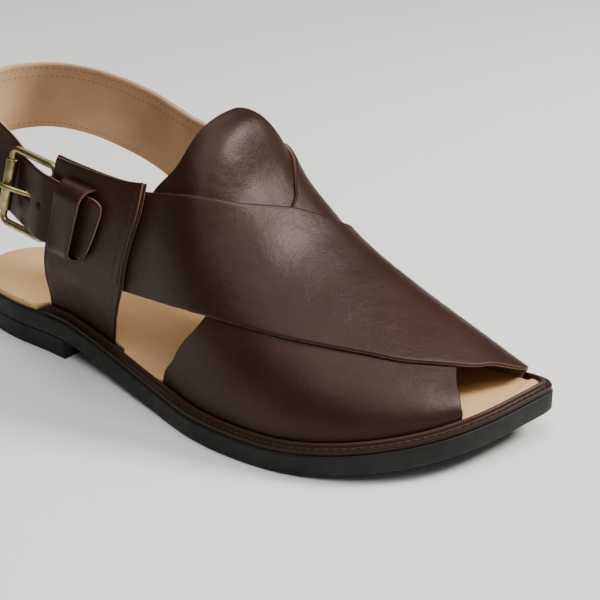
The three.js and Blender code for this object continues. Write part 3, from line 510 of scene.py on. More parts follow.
quarterBrown = leatherMaterial("brown leather with dark edge", {**brownLook, "cut": (0.022, 0.009, 0.006)})
tan = leatherMaterial("tan insole leather", tanLook)
strapLeather = leatherMaterial("brown strap leather with tan lining", strapLook)
weltLeather = leatherMaterial("welt leather", weltLook)
keeperLeather = leatherMaterial("keeper leather", keeperLook)


def rubberMaterial(name, look):
    # matt rubber: two cloudy blacks, cloudy roughness and a fine grain
    made, tree, shader, place = newMaterial(name)
    colour = mixColours(tree, cloudy(tree, place, look["cloudScale"], 4.0), look["dark"], look["light"])
    rough = cloudy(tree, place, look["polishScale"], 3.0, *look["roughness"])
    normal = bump(tree, noise(tree, place, look["grainScale"], 4.0, 0.6), look["grainDepth"])
    setSockets(tree, shader, {"Base Color": colour, "Roughness": rough, "Normal": normal, "IOR": look["ior"],
                              "Specular IOR Level": look["specular"]})
    return made


rubberLook = {
    "dark": (0.0055, 0.0060, 0.0054), "light": (0.0105, 0.0112, 0.0100), "cloudScale": 60.0,
    "roughness": (0.50, 0.66), "polishScale": 150.0, "grainScale": 700.0, "grainDepth": 0.00012,
    "ior": 1.3, "specular": 0.5,
}
rubber = rubberMaterial("black rubber", rubberLook)


def brassMaterial(name, look):
    # tarnish clouds mix two colours and two roughnesses, over a fine grain
    made, tree, shader, place = newMaterial(name)
    tarnish = ramp(tree, noise(tree, place, look["tarnishScale"], 5.0, 0.6), *fleckRange)
    rough = ramp(tree, tarnish, 0.0, 1.0, *look["roughness"])
    normal = bump(tree, noise(tree, place, look["grainScale"]), look["grainDepth"])
    setSockets(tree, shader, {"Base Color": mixColours(tree, tarnish, look["bright"], look["aged"]),
                              "Roughness": rough, "Normal": normal, "Metallic": 1.0})
    return made


brassLook = {
    "bright": (0.46, 0.36, 0.185), "aged": (0.20, 0.145, 0.070), "tarnishScale": 260.0,
    "roughness": (0.26, 0.42), "grainScale": 1500.0, "grainDepth": 0.00003,
}
brass = brassMaterial("antique brass", brassLook)


threadLook = {"scale": 2500.0, "shadow": 0.55, "depth": 0.0001, "roughness": 0.7}


def threadMaterial(name, colour):
    # noise mixes the colour with its own shadow, and raises the surface
    made, tree, shader, place = newMaterial(name)
    twist = noise(tree, place, threadLook["scale"], 2.0)
    shadow = tuple(threadLook["shadow"] * c for c in colour)
    setSockets(tree, shader, {"Base Color": mixColours(tree, twist, colour, shadow),
                              "Normal": bump(tree, twist, threadLook["depth"]),
                              "Roughness": threadLook["roughness"]})
    return made


# near-black stitch colour, also put on the walls of the strap's holes as painted shade
darkThreadAndHoleShade = threadMaterial("dark thread and painted hole shade", (0.018, 0.010, 0.008))
tanThread = threadMaterial("tan thread", (0.26, 0.13, 0.065))
print("materials done")

# Sole

def ringsAlong(profile, places, to=None):
    # Rings across the sole. Each profile row is an inset from the outline and a height function, and the
    # rings' ends meet on the centre line of heel and toe.
    columns = []
    for inset, height in profile:
        line = outline + inward * (inset(outline, inward)[:, None] if callable(inset) else inset)
        start, end = line[:, 0].min(), line[:, 0].max() if to is None else to
        x = start + (end - start) * places
        columns.append([np.stack([x, np.interp(x, *side), height(x)], -1) for side in splitSides(line)])
    return np.stack([c[0] for c in columns] + [c[1] for c in reversed(columns)], 1)


def plateObject(name, profile, places, material, to=None):
    # the rings joined one to the next, and folded shut along the centre line at both ends
    rings = ringsAlong(profile, places, to)
    rows, columns = rings.shape[:2]
    index = np.arange(rows * columns).reshape(rows, columns)
    faces = [quads(index, closedColumns=True)]
    for end, turn in ((index[0], -1), (index[-1], 1)):
        half = columns // 2
        strip = np.stack([end[:half], end[::-1][:half]], 0)
        faces.append(quads(strip)[:, ::turn])
    made = outwardObject(name, rings.reshape(-1, 3), np.vstack(faces), material)
    made.modifiers.new("weld", "WELD").merge_threshold = 0.01 * mm
    return made


def edgeProfile(low, high, inset, radius):
    # wall of a plate from its underside to its top, with rounded edges
    turn = roundedEdge(radius)
    lower = [(inset + top, lambda x, side=side: low(x) + side) for side, top in turn]
    return lower + [(inset + side, lambda x, top=top: high(x) - top) for side, top in turn]


sole = {"edgeRadius": 0.9, "heelInset": 0.2, "heelRadius": 0.5, "heelClear": 0.05}
crowded = (1 - np.cos(np.pi * np.linspace(0, 1, 241))) / 2
soleProfile = edgeProfile(soleBottom, soleTop, 0.0, sole["edgeRadius"])
outsole = plateObject("outsole_rubber", soleProfile, crowded, rubber)
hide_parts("outsole")
heelPlaces = 1 - np.cos(np.pi / 2 * np.linspace(0, 1, 81))
heelProfile = edgeProfile(lambda x: 0 * x, lambda x: 0 * x + shoe["heelHeight"] - sole["heelClear"],
                          sole["heelInset"], sole["heelRadius"])
heel = plateObject("heel_block", heelProfile, heelPlaces, rubber, to=shoe["heelLength"])
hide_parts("heel")

# Insole: narrow beside leather that comes down, wide in the openings and over the heel seat. The places are
# shares of soleLength.
footbed = {
    "narrow": weltWidth + leather + 0.25, "wide": weltWidth - 0.35, "seat": 1.4, "blend": 0.006,
    "outerWindow": (0.397, 0.499), "innerWindow": (0.397, 0.533), "seatTo": 0.204,
    "mouthFrom": 0.941, "mouthSearch": 0.9, "mouthSide": 0.36, "edgeRadius": 0.7, "bottomGap": 0.05,
}


def insoleInset(p, n):
    # narrow, blended to wide by the openings and the mouth, and to the seat's inset at the heel
    place = (p[:, 0] + footbed["narrow"] * n[:, 0]) / soleLength

    def after(start):
        # a smooth step up from the start
        return smoothStep((place - start) / footbed["blend"])

    def within(start, end):
        # a smooth step up from the start times one down to the end
        return after(start) * smoothStep((end - place) / footbed["blend"])
    opened = np.where(p[:, 1] < 0, within(*footbed["outerWindow"]), within(*footbed["innerWindow"]))
    mouth = (p[:, 0] > footbed["mouthSearch"] * soleLength) & (p[:, 1] < footbed["mouthSide"] * soleWidth)
    opened = np.where(mouth, after(footbed["mouthFrom"]), opened)
    inset = footbed["narrow"] + (footbed["wide"] - footbed["narrow"]) * opened
    return inset + (footbed["seat"] - inset) * (1 - after(footbed["seatTo"]))


insoleProfile = [(insoleInset, lambda x: soleTop(x) + footbed["bottomGap"])]
insoleProfile += [(lambda p, n, side=side: insoleInset(p, n) + side, lambda x, top=top: insoleTop(x) - top)
                  for side, top in roundedEdge(footbed["edgeRadius"])]
insole = plateObject("insole_leather", insoleProfile, crowded, tan)
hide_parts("insole")
print("sole done")

# Welt: a strip on the outsole's edge whose inner edge stands up as a bead against the upper
welt = {"start": 0.222, "edge": 0.55, "round": 0.5, "groove": 0.35, "row": 2.05, "rowHalf": 0.35,
        "inside": weltWidth - 0.15, "beadFoot": 0.35, "beadSteps": 11, "bottomGap": 0.02}


def weltSection():
    # from the rim inwards: rounded edge, pressed line for the stitches, half-round bead
    top, bead, width = shoe["weltThickness"], shoe["beadHeight"] + welt["beadFoot"], shoe["beadWidth"]
    middle, foot = welt["inside"] - width / 2, top - welt["beadFoot"]
    turn = np.linspace(0, np.pi, welt["beadSteps"])
    dome = [(middle - width / 2 * math.cos(a), foot + bead * math.sin(a)) for a in turn]
    edge = [(welt["edge"] + inset, top - drop) for inset, drop in roundedEdge(welt["round"])]
    row, half = welt["row"], welt["rowHalf"]
    flat = [(row - half, top), (row, top - welt["groove"]), (row + half, top)]
    bottom = welt["bottomGap"]
    return np.array([(welt["edge"], bottom), *edge, *flat, *dome, (welt["inside"], bottom)])


def outerToInner(line):
    # points of the outline from the outer heel side round the toe to the inner one
    kept = line[:, 0] > welt["start"] * soleLength
    start = np.flatnonzero(kept & ~np.roll(kept, 1))[0]
    return (start + np.arange(kept.sum())) % len(line)


weltPlaces = outerToInner(outline)


def weltObject():
    # the section carried along the outline, each point inwards by its inset and up from the sole's top
    section = weltSection()
    points = np.zeros((len(weltPlaces), len(section), 3))
    points[..., :2] = outline[weltPlaces][:, None] + inward[weltPlaces][:, None] * section[None, :, :1]
    points[..., 2] = soleTop(outline[weltPlaces, 0])[:, None] + section[None, :, 1]
    faces = gridFaces(*points.shape[:2])
    onBead = np.arange(len(section)) >= len(section) - welt["beadSteps"] - 1
    marks = {"cut": np.tile(onBead, len(weltPlaces))}
    return meshObject("welt_strip", points.reshape(-1, 3), faces, weltLeather, marks=marks)


weltStrip = weltObject()
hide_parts("welt")
print("welt done")

# Upper: two crossed straps over a tongue

def edgesOf(rows, side=1):
    # the four columns of an edge table at a share along the sheet, with the girths times the side
    return lambda share: [evenly(rows, k, share) * (side if k % 2 else 1) for k in range(4)]


def level(height):
    # an offset that is the same at every girth
    return lambda g: 0 * g + height


upperSheets = {"straps": (235.0, 78.0), "tongue": (130.0, 52.0), "overClear": 0.12, "underClear": 0.08,
               "tongueClear": 0.02, "tongueOverlap": 0.1}
strapOver, _ = sheetShell("strap_over", edgesOf(strapOverRows), *upperSheets["straps"],
                          lambda g: leather * layered(g),
                          lambda g: upperSheets["overClear"] * layered(g) - leather * (1 - layered(g)), brown)
strapUnder, _ = sheetShell("strap_under", edgesOf(strapUnderRows), *upperSheets["straps"],
                           level(0), level(upperSheets["underClear"] - leather), brown)
tongue, _ = sheetShell("tongue", edgesOf(tongueRows), *upperSheets["tongue"],
                       level(-leather - upperSheets["tongueClear"]),
                       level(upperSheets["tongueOverlap"] - 2 * leather), brown)
for piece in (strapOver, strapUnder, tongue):
    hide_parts("upper")
print("upper done")

# Quarters
quarterInner = leather + gap + shoe["quarterRoom"]
quarterOuter = quarterInner + leather
innerQuarterOuter = quarterInner
tabOuter = quarterOuter + shoe["tabLeather"]


def quarterFace(offset, outermost):
    # the offset, less the outermost one where the layers come down at the foot
    return lambda g: offset - outermost * (1 - layered(g))


quarterStitch = {"pitch": 3.1, "long": 2.3, "thick": 0.62, "sink": 0.12,
                 "tab": (0.05, 0.97), "outer": (0.50, 0.95), "inner": (0.03, 0.95)}


def capsules(points, direction, normal, look):
    # One thread at each point: at a share s of half its length a ring, whose radius is half the thickness times
    # the root of (1 - s cubed), with a tip at both ends, all sunk along the normal.
    rings, sides = 5, 6
    s = np.linspace(-1, 1, rings + 2)[1:-1]
    a = np.linspace(0, 2 * np.pi, sides, endpoint=False)
    side = unit(np.cross(normal, direction))
    radius = np.sqrt(np.maximum(1 - np.abs(s) ** 3, 0)) * look["thick"] / 2
    around = (side[:, None, None] * np.cos(a)[None, None, :, None]
              + normal[:, None, None] * np.sin(a)[None, None, :, None])
    half = direction * look["long"] / 2
    body = points[:, None, None] + half[:, None, None] * s[:, None, None] + radius[:, None, None] * around
    tips = np.stack([points - half, points + half], 1)
    vertices = np.concatenate([body.reshape(len(points), -1, 3), tips], 1) - normal[:, None] * look["sink"]
    grid = np.arange(rings * sides).reshape(rings, sides)
    turned = np.roll(grid, -1, 1)
    fans = [np.stack([np.full(sides, rings * sides + k), *pair], -1)
            for k, pair in enumerate([(turned[0], grid[0]), (grid[-1], turned[-1])])]
    each = quads(grid, closedColumns=True)[:, ::-1].tolist() + np.vstack(fans).tolist()
    return vertices.reshape(-1, 3), each, vertices.shape[1]


def threadObject(name, rows, material, look):
    # Stitches along each row's path, from half a pitch on at every pitch. Rows are pairs of path and normals.
    parts, faces, total = [], [], 0
    for path, normals in rows:
        length = lengthAlong(path)
        at = np.arange(look["pitch"] / 2, length[-1], look["pitch"])

        def pick(values, shift=0.0):
            # values at the stitches' places, a shift further on along the path
            return np.stack([np.interp(at + shift, length, values[:, k]) for k in range(3)], -1)
        ahead = unit(pick(path, 0.5) - pick(path, -0.5))
        vertices, each, count = capsules(pick(path), ahead, unit(pick(normals)), look)
        parts.append(vertices)
        faces += [[i + total + k * count for i in face] for k in range(len(at)) for face in each]
        total += len(vertices)
    return meshObject(name, np.vstack(parts), faces, material)


grooves = {"depth": 0.28, "width": 0.75, "frontInset": 3.4, "rearInset": 1.9, "rearDepth": 0.25}


def quarterRelief(across):
    # two pressed lines, each a bell curve of the distance from its place
    def line(distance, at):
        # e to the power of minus the squared distance in widths
        return np.exp(-((distance - at) / grooves["width"]) ** 2)
    return (-grooves["depth"] * line(across[:, -1:] - across, grooves["frontInset"])
            - grooves["rearDepth"] * line(across, grooves["rearInset"]))


# Length and width of each sheet, which set its number of faces, and how far the tab's back sinks in
quarterSheets = {"outer": (86.0, 50.0), "inner": (80.0, 40.0), "tab": (50.0, 42.0), "step": 1.0,
                 "tabInto": 0.15}
quarterOuterPiece, quarterGrid = sheetShell(
    "quarter_outer_leather", edgesOf(outerQuarterRows, -1), *quarterSheets["outer"],
    quarterFace(quarterOuter, quarterOuter), quarterFace(quarterInner, quarterOuter),
    quarterBrown, quarterSheets["step"], quarterRelief)
quarterInnerPiece, innerGrid = sheetShell(
    "quarter_inner_leather", edgesOf(innerQuarterRows, 1), *quarterSheets["inner"],
    quarterFace(innerQuarterOuter, innerQuarterOuter),
    quarterFace(innerQuarterOuter - leather, innerQuarterOuter), brown, quarterSheets["step"])
tabPiece, tabGrid = sheetShell(
    "quarter_tab", edgesOf(tabRows, -1), *quarterSheets["tab"],
    quarterFace(tabOuter, quarterOuter), quarterFace(quarterOuter - quarterSheets["tabInto"], quarterOuter),
    brown, quarterSheets["step"], quarterRelief)
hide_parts("quarter_outer")
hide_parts("quarter_inner")


def rowOnGrid(grid, start, end):
    # path on a sheet's outer face at an inset from its front edge, between two shares of its length
    top, normal, u = grid
    length = lengthAlong(top, 1)
    rows = np.flatnonzero((u > start) & (u < end))
    at = length[:, -1] - grooves["frontInset"]
    path, normals = [np.array([[np.interp(at[i], length[i], face[i, :, k]) for k in range(3)] for i in rows])
                     for face in (top, normal)]
    return path, unit(normals)


quarterRows = [rowOnGrid(grid, *quarterStitch[key])
               for grid, key in ((tabGrid, "tab"), (quarterGrid, "outer"), (innerGrid, "inner"))]
quarterThreads = threadObject("quarter_stitches", quarterRows, darkThreadAndHoleShade, quarterStitch)
weltStitch = {"pitch": 3.6, "long": 2.5, "thick": 0.8, "sink": 0.05, "under": 0.1}
weltRow = np.zeros((len(weltPlaces), 3))
weltRow[:, :2] = outline[weltPlaces] + inward[weltPlaces] * welt["row"]
weltRow[:, 2] = soleTop(outline[weltPlaces, 0]) + shoe["weltThickness"] - weltStitch["under"]
upwards = np.tile([0.0, 0.0, 1.0], (len(weltRow), 1))
weltThreads = threadObject("welt_stitches", [(weltRow, upwards)], darkThreadAndHoleShade, weltStitch)
print("quarters done")

# Buckle
buckle = {
    "middle": 0.212, "height": 0.70, "length": 26.0, "lean": 10.0, "tilt": 9.0, "billetWidth": 30.0,
    "bar": 3.4, "roller": 5.4, "prong": 2.4, "corner": 3.0, "barOut": 0.5, "rollerOut": 1.2,
    "sideClear": 0.6, "loopClear": 0.45, "rollerSide": 3.4, "rollerEdge": 0.5, "rollSide": 3.0, "rollEdge": 0.6,
    "rollInto": 0.2, "prongSlot": 0.8, "eyeFrom": 200.0, "eyeTurn": 290.0, "prongSpan": 0.15,
    "prongRise": (0.36, 0.72), "prongTip": (2.0, 3.2, 0.2), "tipThin": 0.85, "tipRings": 8,
}
strap = {
    "width": 32.0, "sewnWidth": 42.0, "sewnRows": 7, "tipRows": 0.85, "thickness": 2.6, "billetThickness": 1.8,
    "hole": 4.0, "spacing": 12.0, "prongPlace": 0.4, "prongHole": 8.4, "holeSlope": 0.38, "holeLevel": 1.7,
    "keeperRow": 1.52, "keeperWidth": 22.0, "keeperLeather": 1.8, "keeperRoom": 2.7, "keeperCorner": 5.0,
    "keeperSkew": 4.2, "keeperFoot": 5.0, "crossing": -0.04, "tipUpper": (0.08, 6), "tipLower": (0.84, 1.6),
    "punch": (-6.0, -0.7, 0.5, 8.0), "prongHoleBack": 0.7, "holeBack": 0.3,
}
halfBuckle = buckle["length"] / 2
halfInside = buckle["billetWidth"] / 2 + buckle["sideClear"]
prongLoop = buckle["bar"] / 2 + buckle["loopClear"] + buckle["prong"] / 2
barClear = buckle["bar"] + 2 * gap


def buckleSpace():
    # middle of the buckle on the quarter, and its axes turned by lean and tilt
    lean, tilt = math.radians(-buckle["lean"]), math.radians(buckle["tilt"])
    turnX = np.array([[1, 0, 0], [0, math.cos(lean), -math.sin(lean)], [0, math.sin(lean), math.cos(lean)]])
    turnY = np.array([[math.cos(tilt), 0, math.sin(tilt)], [0, 1, 0], [-math.sin(tilt), 0, math.cos(tilt)]])
    facing = np.array([[1, 0, 0], [0, 0, -1], [0, 1, 0]])
    middle = besideLast(buckle["middle"] * soleLength, buckle["height"] * instepHeight, -1, quarterOuter)
    return middle, turnX @ turnY @ facing


buckleMiddle, buckleTurn = buckleSpace()


def inBuckle(points):
    # along, across and out of the buckle, turned and moved to the shoe
    return buckleMiddle + np.asarray(points, float) @ buckleTurn.T


def buckleObject(name, rings, material, closed=True):
    # object of rings in the buckle's space, joined one to the next
    faces = gridFaces(*rings.shape[:2], closed)
    return recalculated(meshObject(name, inBuckle(rings.reshape(-1, 3)), faces, material))


def wire(name, path, radii, material, sides, closed=False):
    # Round wire: rings of the radius about the path and square to it. On an open path each ring's outward
    # direction is the last one's, less its part along the path.
    axis = unit(np.roll(path, -1, 0) - np.roll(path, 1, 0)) if closed else unit(np.gradient(path, axis=0))
    out = np.where(np.abs(axis[:, 2:]) > 0.9, [[1.0, 0, 0]], [[0, 0, 1.0]])
    if not closed:
        for i in range(1, len(axis)):
            out[i] = unit(out[i - 1] - axis[i] * (out[i - 1] @ axis[i]))
    aside = unit(np.cross(out, axis))
    third = np.cross(axis, aside)
    a = np.linspace(0, 2 * np.pi, sides, endpoint=False)[None, :, None]
    radii = np.broadcast_to(radii, (len(path),))[:, None, None]
    rings = path[:, None] + radii * (aside[:, None] * np.cos(a) + third[:, None] * np.sin(a))
    return buckleObject(name, rings, material, closed)


def framePath(steps=10):
    # a quarter circle at each corner, with the height out of the quarter straight from bar to roller
    halfAcross, corner = halfInside + buckle["bar"] / 2, buckle["corner"]
    points = []
    for start, (toBar, aside) in zip((0, 90, 180, 270), ((1, 1), (-1, 1), (-1, -1), (1, -1))):
        angle = np.radians(start + 90 * np.linspace(0, 1, steps))
        a = toBar * (halfBuckle - corner) + corner * np.cos(angle)
        b = aside * (halfAcross - corner) + corner * np.sin(angle)
        out = np.interp(a, [-halfBuckle, halfBuckle], [buckle["rollerOut"], buckle["barOut"]])
        points.append(np.stack([a, b, out], -1))
    return np.vstack(points)


frameWire = wire("buckle_frame_brass", framePath(), buckle["bar"] / 2, brass, 20, closed=True)
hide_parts("buckle_frame")


def tubeObject(name, ends, radius, bore, edge, axis, sides, material):
    # Rolled tube across the buckle between two ends: its wall's section, with rims rounded by a quarter
    # circle of the edge's radius, turned about the axis.
    rim = roundedEdge(edge)
    rims = [(ends[0] + a, radius - b) for b, a in rim[::-1]] + [(ends[1] - a, radius - b) for b, a in rim]
    section = np.array([(ends[0], bore), *rims, (ends[1], bore)])
    a = np.linspace(0, 2 * np.pi, sides, endpoint=False)[None]
    rings = np.stack([axis[0] + section[:, 1:] * np.cos(a), np.repeat(section[:, :1], sides, 1),
                      axis[1] + section[:, 1:] * np.sin(a)], -1)
    return buckleObject(name, rings, material)


rollerHalf = halfInside - buckle["rollerSide"]
roller = tubeObject("buckle_roller_brass", (-rollerHalf, rollerHalf), buckle["roller"] / 2,
                    buckle["bar"] / 2 + gap, buckle["rollerEdge"],
                    (-halfBuckle, buckle["rollerOut"]), 40, brass)
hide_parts("buckle_roller")


def prongPath():
    # a loop round the bar, then a smooth curve through the strap's hole and over the roller
    angle = np.radians(buckle["eyeFrom"] - buckle["eyeTurn"] * np.linspace(0, 1, 12))
    eye = np.stack([halfBuckle + prongLoop * np.cos(angle), 0 * angle,
                    buckle["barOut"] + prongLoop * np.sin(angle)], -1)
    over = buckle["rollerOut"] + buckle["roller"] / 2 + gap + buckle["prong"] / 2
    under, span = buckle["barOut"] - prongLoop, buckle["prongSpan"] * buckle["length"]
    first, second = [under + share * (over - under) for share in buckle["prongRise"]]
    before, after, drop = buckle["prongTip"]
    rest = [(span, 0, first), (-span, 0, second), (before - halfBuckle, 0, over),
            (-after - halfBuckle, 0, over - drop)]
    return catmull(np.vstack([eye, rest]), False, np.linspace(0, 1, 90))


prongLine = prongPath()
prongRadii = np.full(len(prongLine), buckle["prong"] / 2)
prongRadii[-buckle["tipRings"]:] *= np.sqrt(1 - buckle["tipThin"] * np.linspace(0, 1, buckle["tipRings"]) ** 3)
prong = wire("buckle_prong_brass", prongLine, prongRadii, brass, 16)
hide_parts("buckle_prong")


# Leather of the tab rolled round the bar, on both sides of the prong
rollHalf, slotHalf = halfInside - buckle["rollSide"], buckle["prong"] / 2 + buckle["prongSlot"]
for name, ends in (("tab_roll_lower", (-rollHalf, -slotHalf)), ("tab_roll_upper", (slotHalf, rollHalf))):
    tabRoll = tubeObject(name, ends, barClear / 2 + shoe["tabLeather"], barClear / 2 - buckle["rollInto"],
                         buckle["rollEdge"], (halfBuckle, buckle["barOut"]), 36, brown)
print("buckle done")

# Heel strap, from its end on the inner quarter, round the heel, through the buckle to the tip of its billet
strapSewnRows = np.array([(0.436, 0.680), (0.392, 0.723), (0.350, 0.768)])
billetRows = np.array([(0.300, 0.668), (0.340, 0.660), (0.388, 0.652)])
strapFreeRows = np.array([
    (0.262, 0.297, 0.842, 6), (0.186, 0.300, 0.882, 4), (0.110, 0.290, 0.903, 3),
    (0.052, 0.235, 0.912, 2), (0.020, 0.135, 0.912, 0), (0.012, 0.010, 0.912, 0),
    (0.028, -0.115, 0.915, 2), (0.066, -0.200, 0.905, 4), (0.110, -0.247, 0.850, 6)])


def strapPath():
    # places and leans in degrees of the strap: on the inner quarter, free, in the buckle, on the tab
    def onQuarter(rows, side, offset):
        # places beside the last, and the slope between half a billet's width below and above them
        x, z = rows[:, 0] * soleLength, rows[:, 1] * instepHeight
        low, high = [besideLast(x, z + k * buckle["billetWidth"] / 2, side, offset) for k in (-1, 1)]
        lean = np.degrees(np.arctan2(side * (low[:, 1] - high[:, 1]), high[:, 2] - low[:, 2]))
        return besideLast(x, z, side, offset), lean
    halfBillet = strap["billetThickness"] / 2
    underRoller = buckle["rollerOut"] - buckle["roller"] / 2 - 4 * gap - halfBillet
    overBar = buckle["barOut"] + prongLoop + buckle["prong"] / 2 + gap + halfBillet
    first, firstLean = onQuarter(strapSewnRows, 1, innerQuarterOuter + 2 * gap + strap["thickness"] / 2)
    last, lastLean = onQuarter(billetRows, -1, tabOuter + 4 * gap + halfBillet)
    free = strapFreeRows[:, :3] * [soleLength, soleWidth, instepHeight]
    crossing = (strap["crossing"] * buckle["length"], 0, (underRoller + overBar) / 2)
    inside = inBuckle([(-halfBuckle, 0, underRoller), crossing, (halfBuckle, 0, overBar)])
    lean = np.concatenate([firstLean, strapFreeRows[:, 3], [buckle["lean"]] * 3, lastLean])
    return np.vstack([first, free, inside, last]), lean


strapPoints, strapLean = strapPath()
strapCount = len(strapPoints)
billetFrom = len(strapSewnRows) + len(strapFreeRows) - 2


def strapAt(share):
    # Place, axes along, up across and outward, width and thickness of the strap. Up is the vertical less its
    # part along the strap, turned by the lean, and the width goes from sewn to free to the billet's.
    share, step = np.asarray(share, float), 1e-4
    at = catmull(strapPoints, False, share)
    ahead, back = [catmull(strapPoints, False, np.clip(share + k, 0, 1)) for k in (step, -step)]
    axis = unit(ahead - back)
    place = share * (strapCount - 1)
    lean = np.radians(between(np.linspace(0, 1, strapCount), strapLean, share))[:, None]
    aside = unit(np.stack([axis[:, 1], -axis[:, 0], 0 * axis[:, 0]], -1))
    up = unit(np.array([0, 0, 1.0]) - axis * axis[:, 2:])
    across = up * np.cos(lean) - aside * np.sin(lean)
    narrowing = smoothStep((place - billetFrom) / 2)
    sewn = strap["sewnWidth"] + (strap["width"] - strap["sewnWidth"]) * smoothStep(place / strap["sewnRows"])
    width = sewn + (buckle["billetWidth"] - sewn) * narrowing
    thickness = strap["thickness"] + (strap["billetThickness"] - strap["thickness"]) * narrowing
    return at, axis, across, unit(np.cross(axis, across)), place, width, thickness


strapShares = np.linspace(0, 1, 2001)
strapLength = lengthAlong(catmull(strapPoints, False, strapShares))


def strapObject():
    # Two faces half a thickness out of the strap's middle, drawn in at every edge. The tip is cut slantwise:
    # its upper edge comes in by a high power of the place, the lower one by a low power.
    total, edge = strapLength[-1], strap["thickness"] / 2
    u, v = roundedPlaces(total, edge, 1.2), roundedPlaces(strap["width"], edge, 1.0)
    at, axis, across, out, place, width, thickness = strapAt(np.interp(u * total, strapLength, strapShares))
    tip = np.clip((place - (strapCount - 1 - strap["tipRows"])) / strap["tipRows"], 0, 1)
    top, bottom = [(width / 2 - share * buckle["billetWidth"] * tip ** power)[:, None]
                   for share, power in (strap["tipUpper"], strap["tipLower"])]
    y = -bottom + (top + bottom) * v
    sides = roundness(np.minimum(v, 1 - v) * (top + bottom), edge)
    ends = roundness(np.minimum(u, 1 - u)[:, None] * total + 0 * v, edge)
    middle = at[:, None] + across[:, None] * y[..., None]
    rise = out[:, None] * ((thickness / 2)[:, None] * sides * ends)[..., None]
    uv = np.stack([np.repeat((u * total)[:, None], len(v), 1), y], -1)
    marks = {"cut": 1 - np.minimum(sides, ends)}
    return shellObject("heel_strap_leather", middle + rise, middle - rise, strapLeather, uv, marks)


heelStrap = strapObject()


def punchObject(place, length, width, narrow):
    # a slot with round ends through the sloping strap, that narrows towards the strap's back
    a = 2 * np.pi * (np.arange(32) + 0.5) / 32

    def ring(out, share):
        # half circles of a share of the width about both ends, at a height over the strap's middle
        x = (length - width) / 2 * np.sign(np.cos(a)) + share * width / 2 * np.cos(a)
        level = strap["holeLevel"] + strap["holeSlope"] * (place + x)
        return np.stack([place + x, share * width / 2 * np.sin(a), level + out], -1)
    rings = np.array([ring(out, share) for out, share in zip(strap["punch"], (narrow, narrow, 1.0, 1.0))])
    # the tool's near-black stitch material becomes the walls of the hole, as painted shade
    return buckleObject("punch", rings, darkThreadAndHoleShade, closed=False)


def cutHoles(piece, tools):
    # each tool is taken away from the piece and gives the cut its material; the near-black stitch material on
    # the hole walls is painted shade inside the holes
    for tool in tools:
        cutter = piece.modifiers.new("hole", "BOOLEAN")
        cutter.operation, cutter.solver, cutter.object = "DIFFERENCE", "EXACT", tool
        cutter.material_mode = "TRANSFER"
        bpy.context.view_layer.objects.active = piece
        bpy.ops.object.modifier_apply(modifier=cutter.name)
        bpy.data.objects.remove(tool)


hole, nextPlace = strap["hole"], strap["prongPlace"] + strap["spacing"]
cutHoles(heelStrap, [punchObject(strap["prongPlace"], strap["prongHole"], hole, strap["prongHoleBack"]),
                     punchObject(nextPlace, hole, hole, strap["holeBack"])])
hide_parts("heel_strap")


def strapRow(y, side, start, end):
    # Stitch path at a height on the strap, on its outer (1) or inner (-1) face. Beyond a quarter of the width
    # from the middle, a row keeps its distance from the edge.
    at, axis, across, out, place, width, thickness = strapAt(np.linspace(start, end, 400))
    spread = np.sign(y) * (width - strap["width"]) / 2 if abs(y) > strap["width"] / 4 else 0 * width
    return at + across * (y + spread)[:, None] + out * (side * thickness / 2)[:, None], out * side


strapStitch = {"pitch": 2.9, "long": 1.8, "thick": 0.55, "sink": 0.14, "rows": (13.6, -13.2),
               "liningTo": 0.80, "extra": 9.6, "extraTo": 0.72, "outerTo": 0.78}
liningRows = [strapRow(y, -1, 0.0, strapStitch["liningTo"]) for y in strapStitch["rows"]]
liningRows.append(strapRow(strapStitch["extra"], -1, 0.0, strapStitch["extraTo"]))
liningThreads = threadObject("strap_lining_stitches", liningRows, tanThread, strapStitch)
outerRows = [strapRow(y, 1, 0.0, strapStitch["outerTo"]) for y in strapStitch["rows"]]
outerThreads = threadObject("strap_outer_stitches", outerRows, darkThreadAndHoleShade, strapStitch)
print("strap done")

# Keeper: a band over the billet whose feet stand on the tab

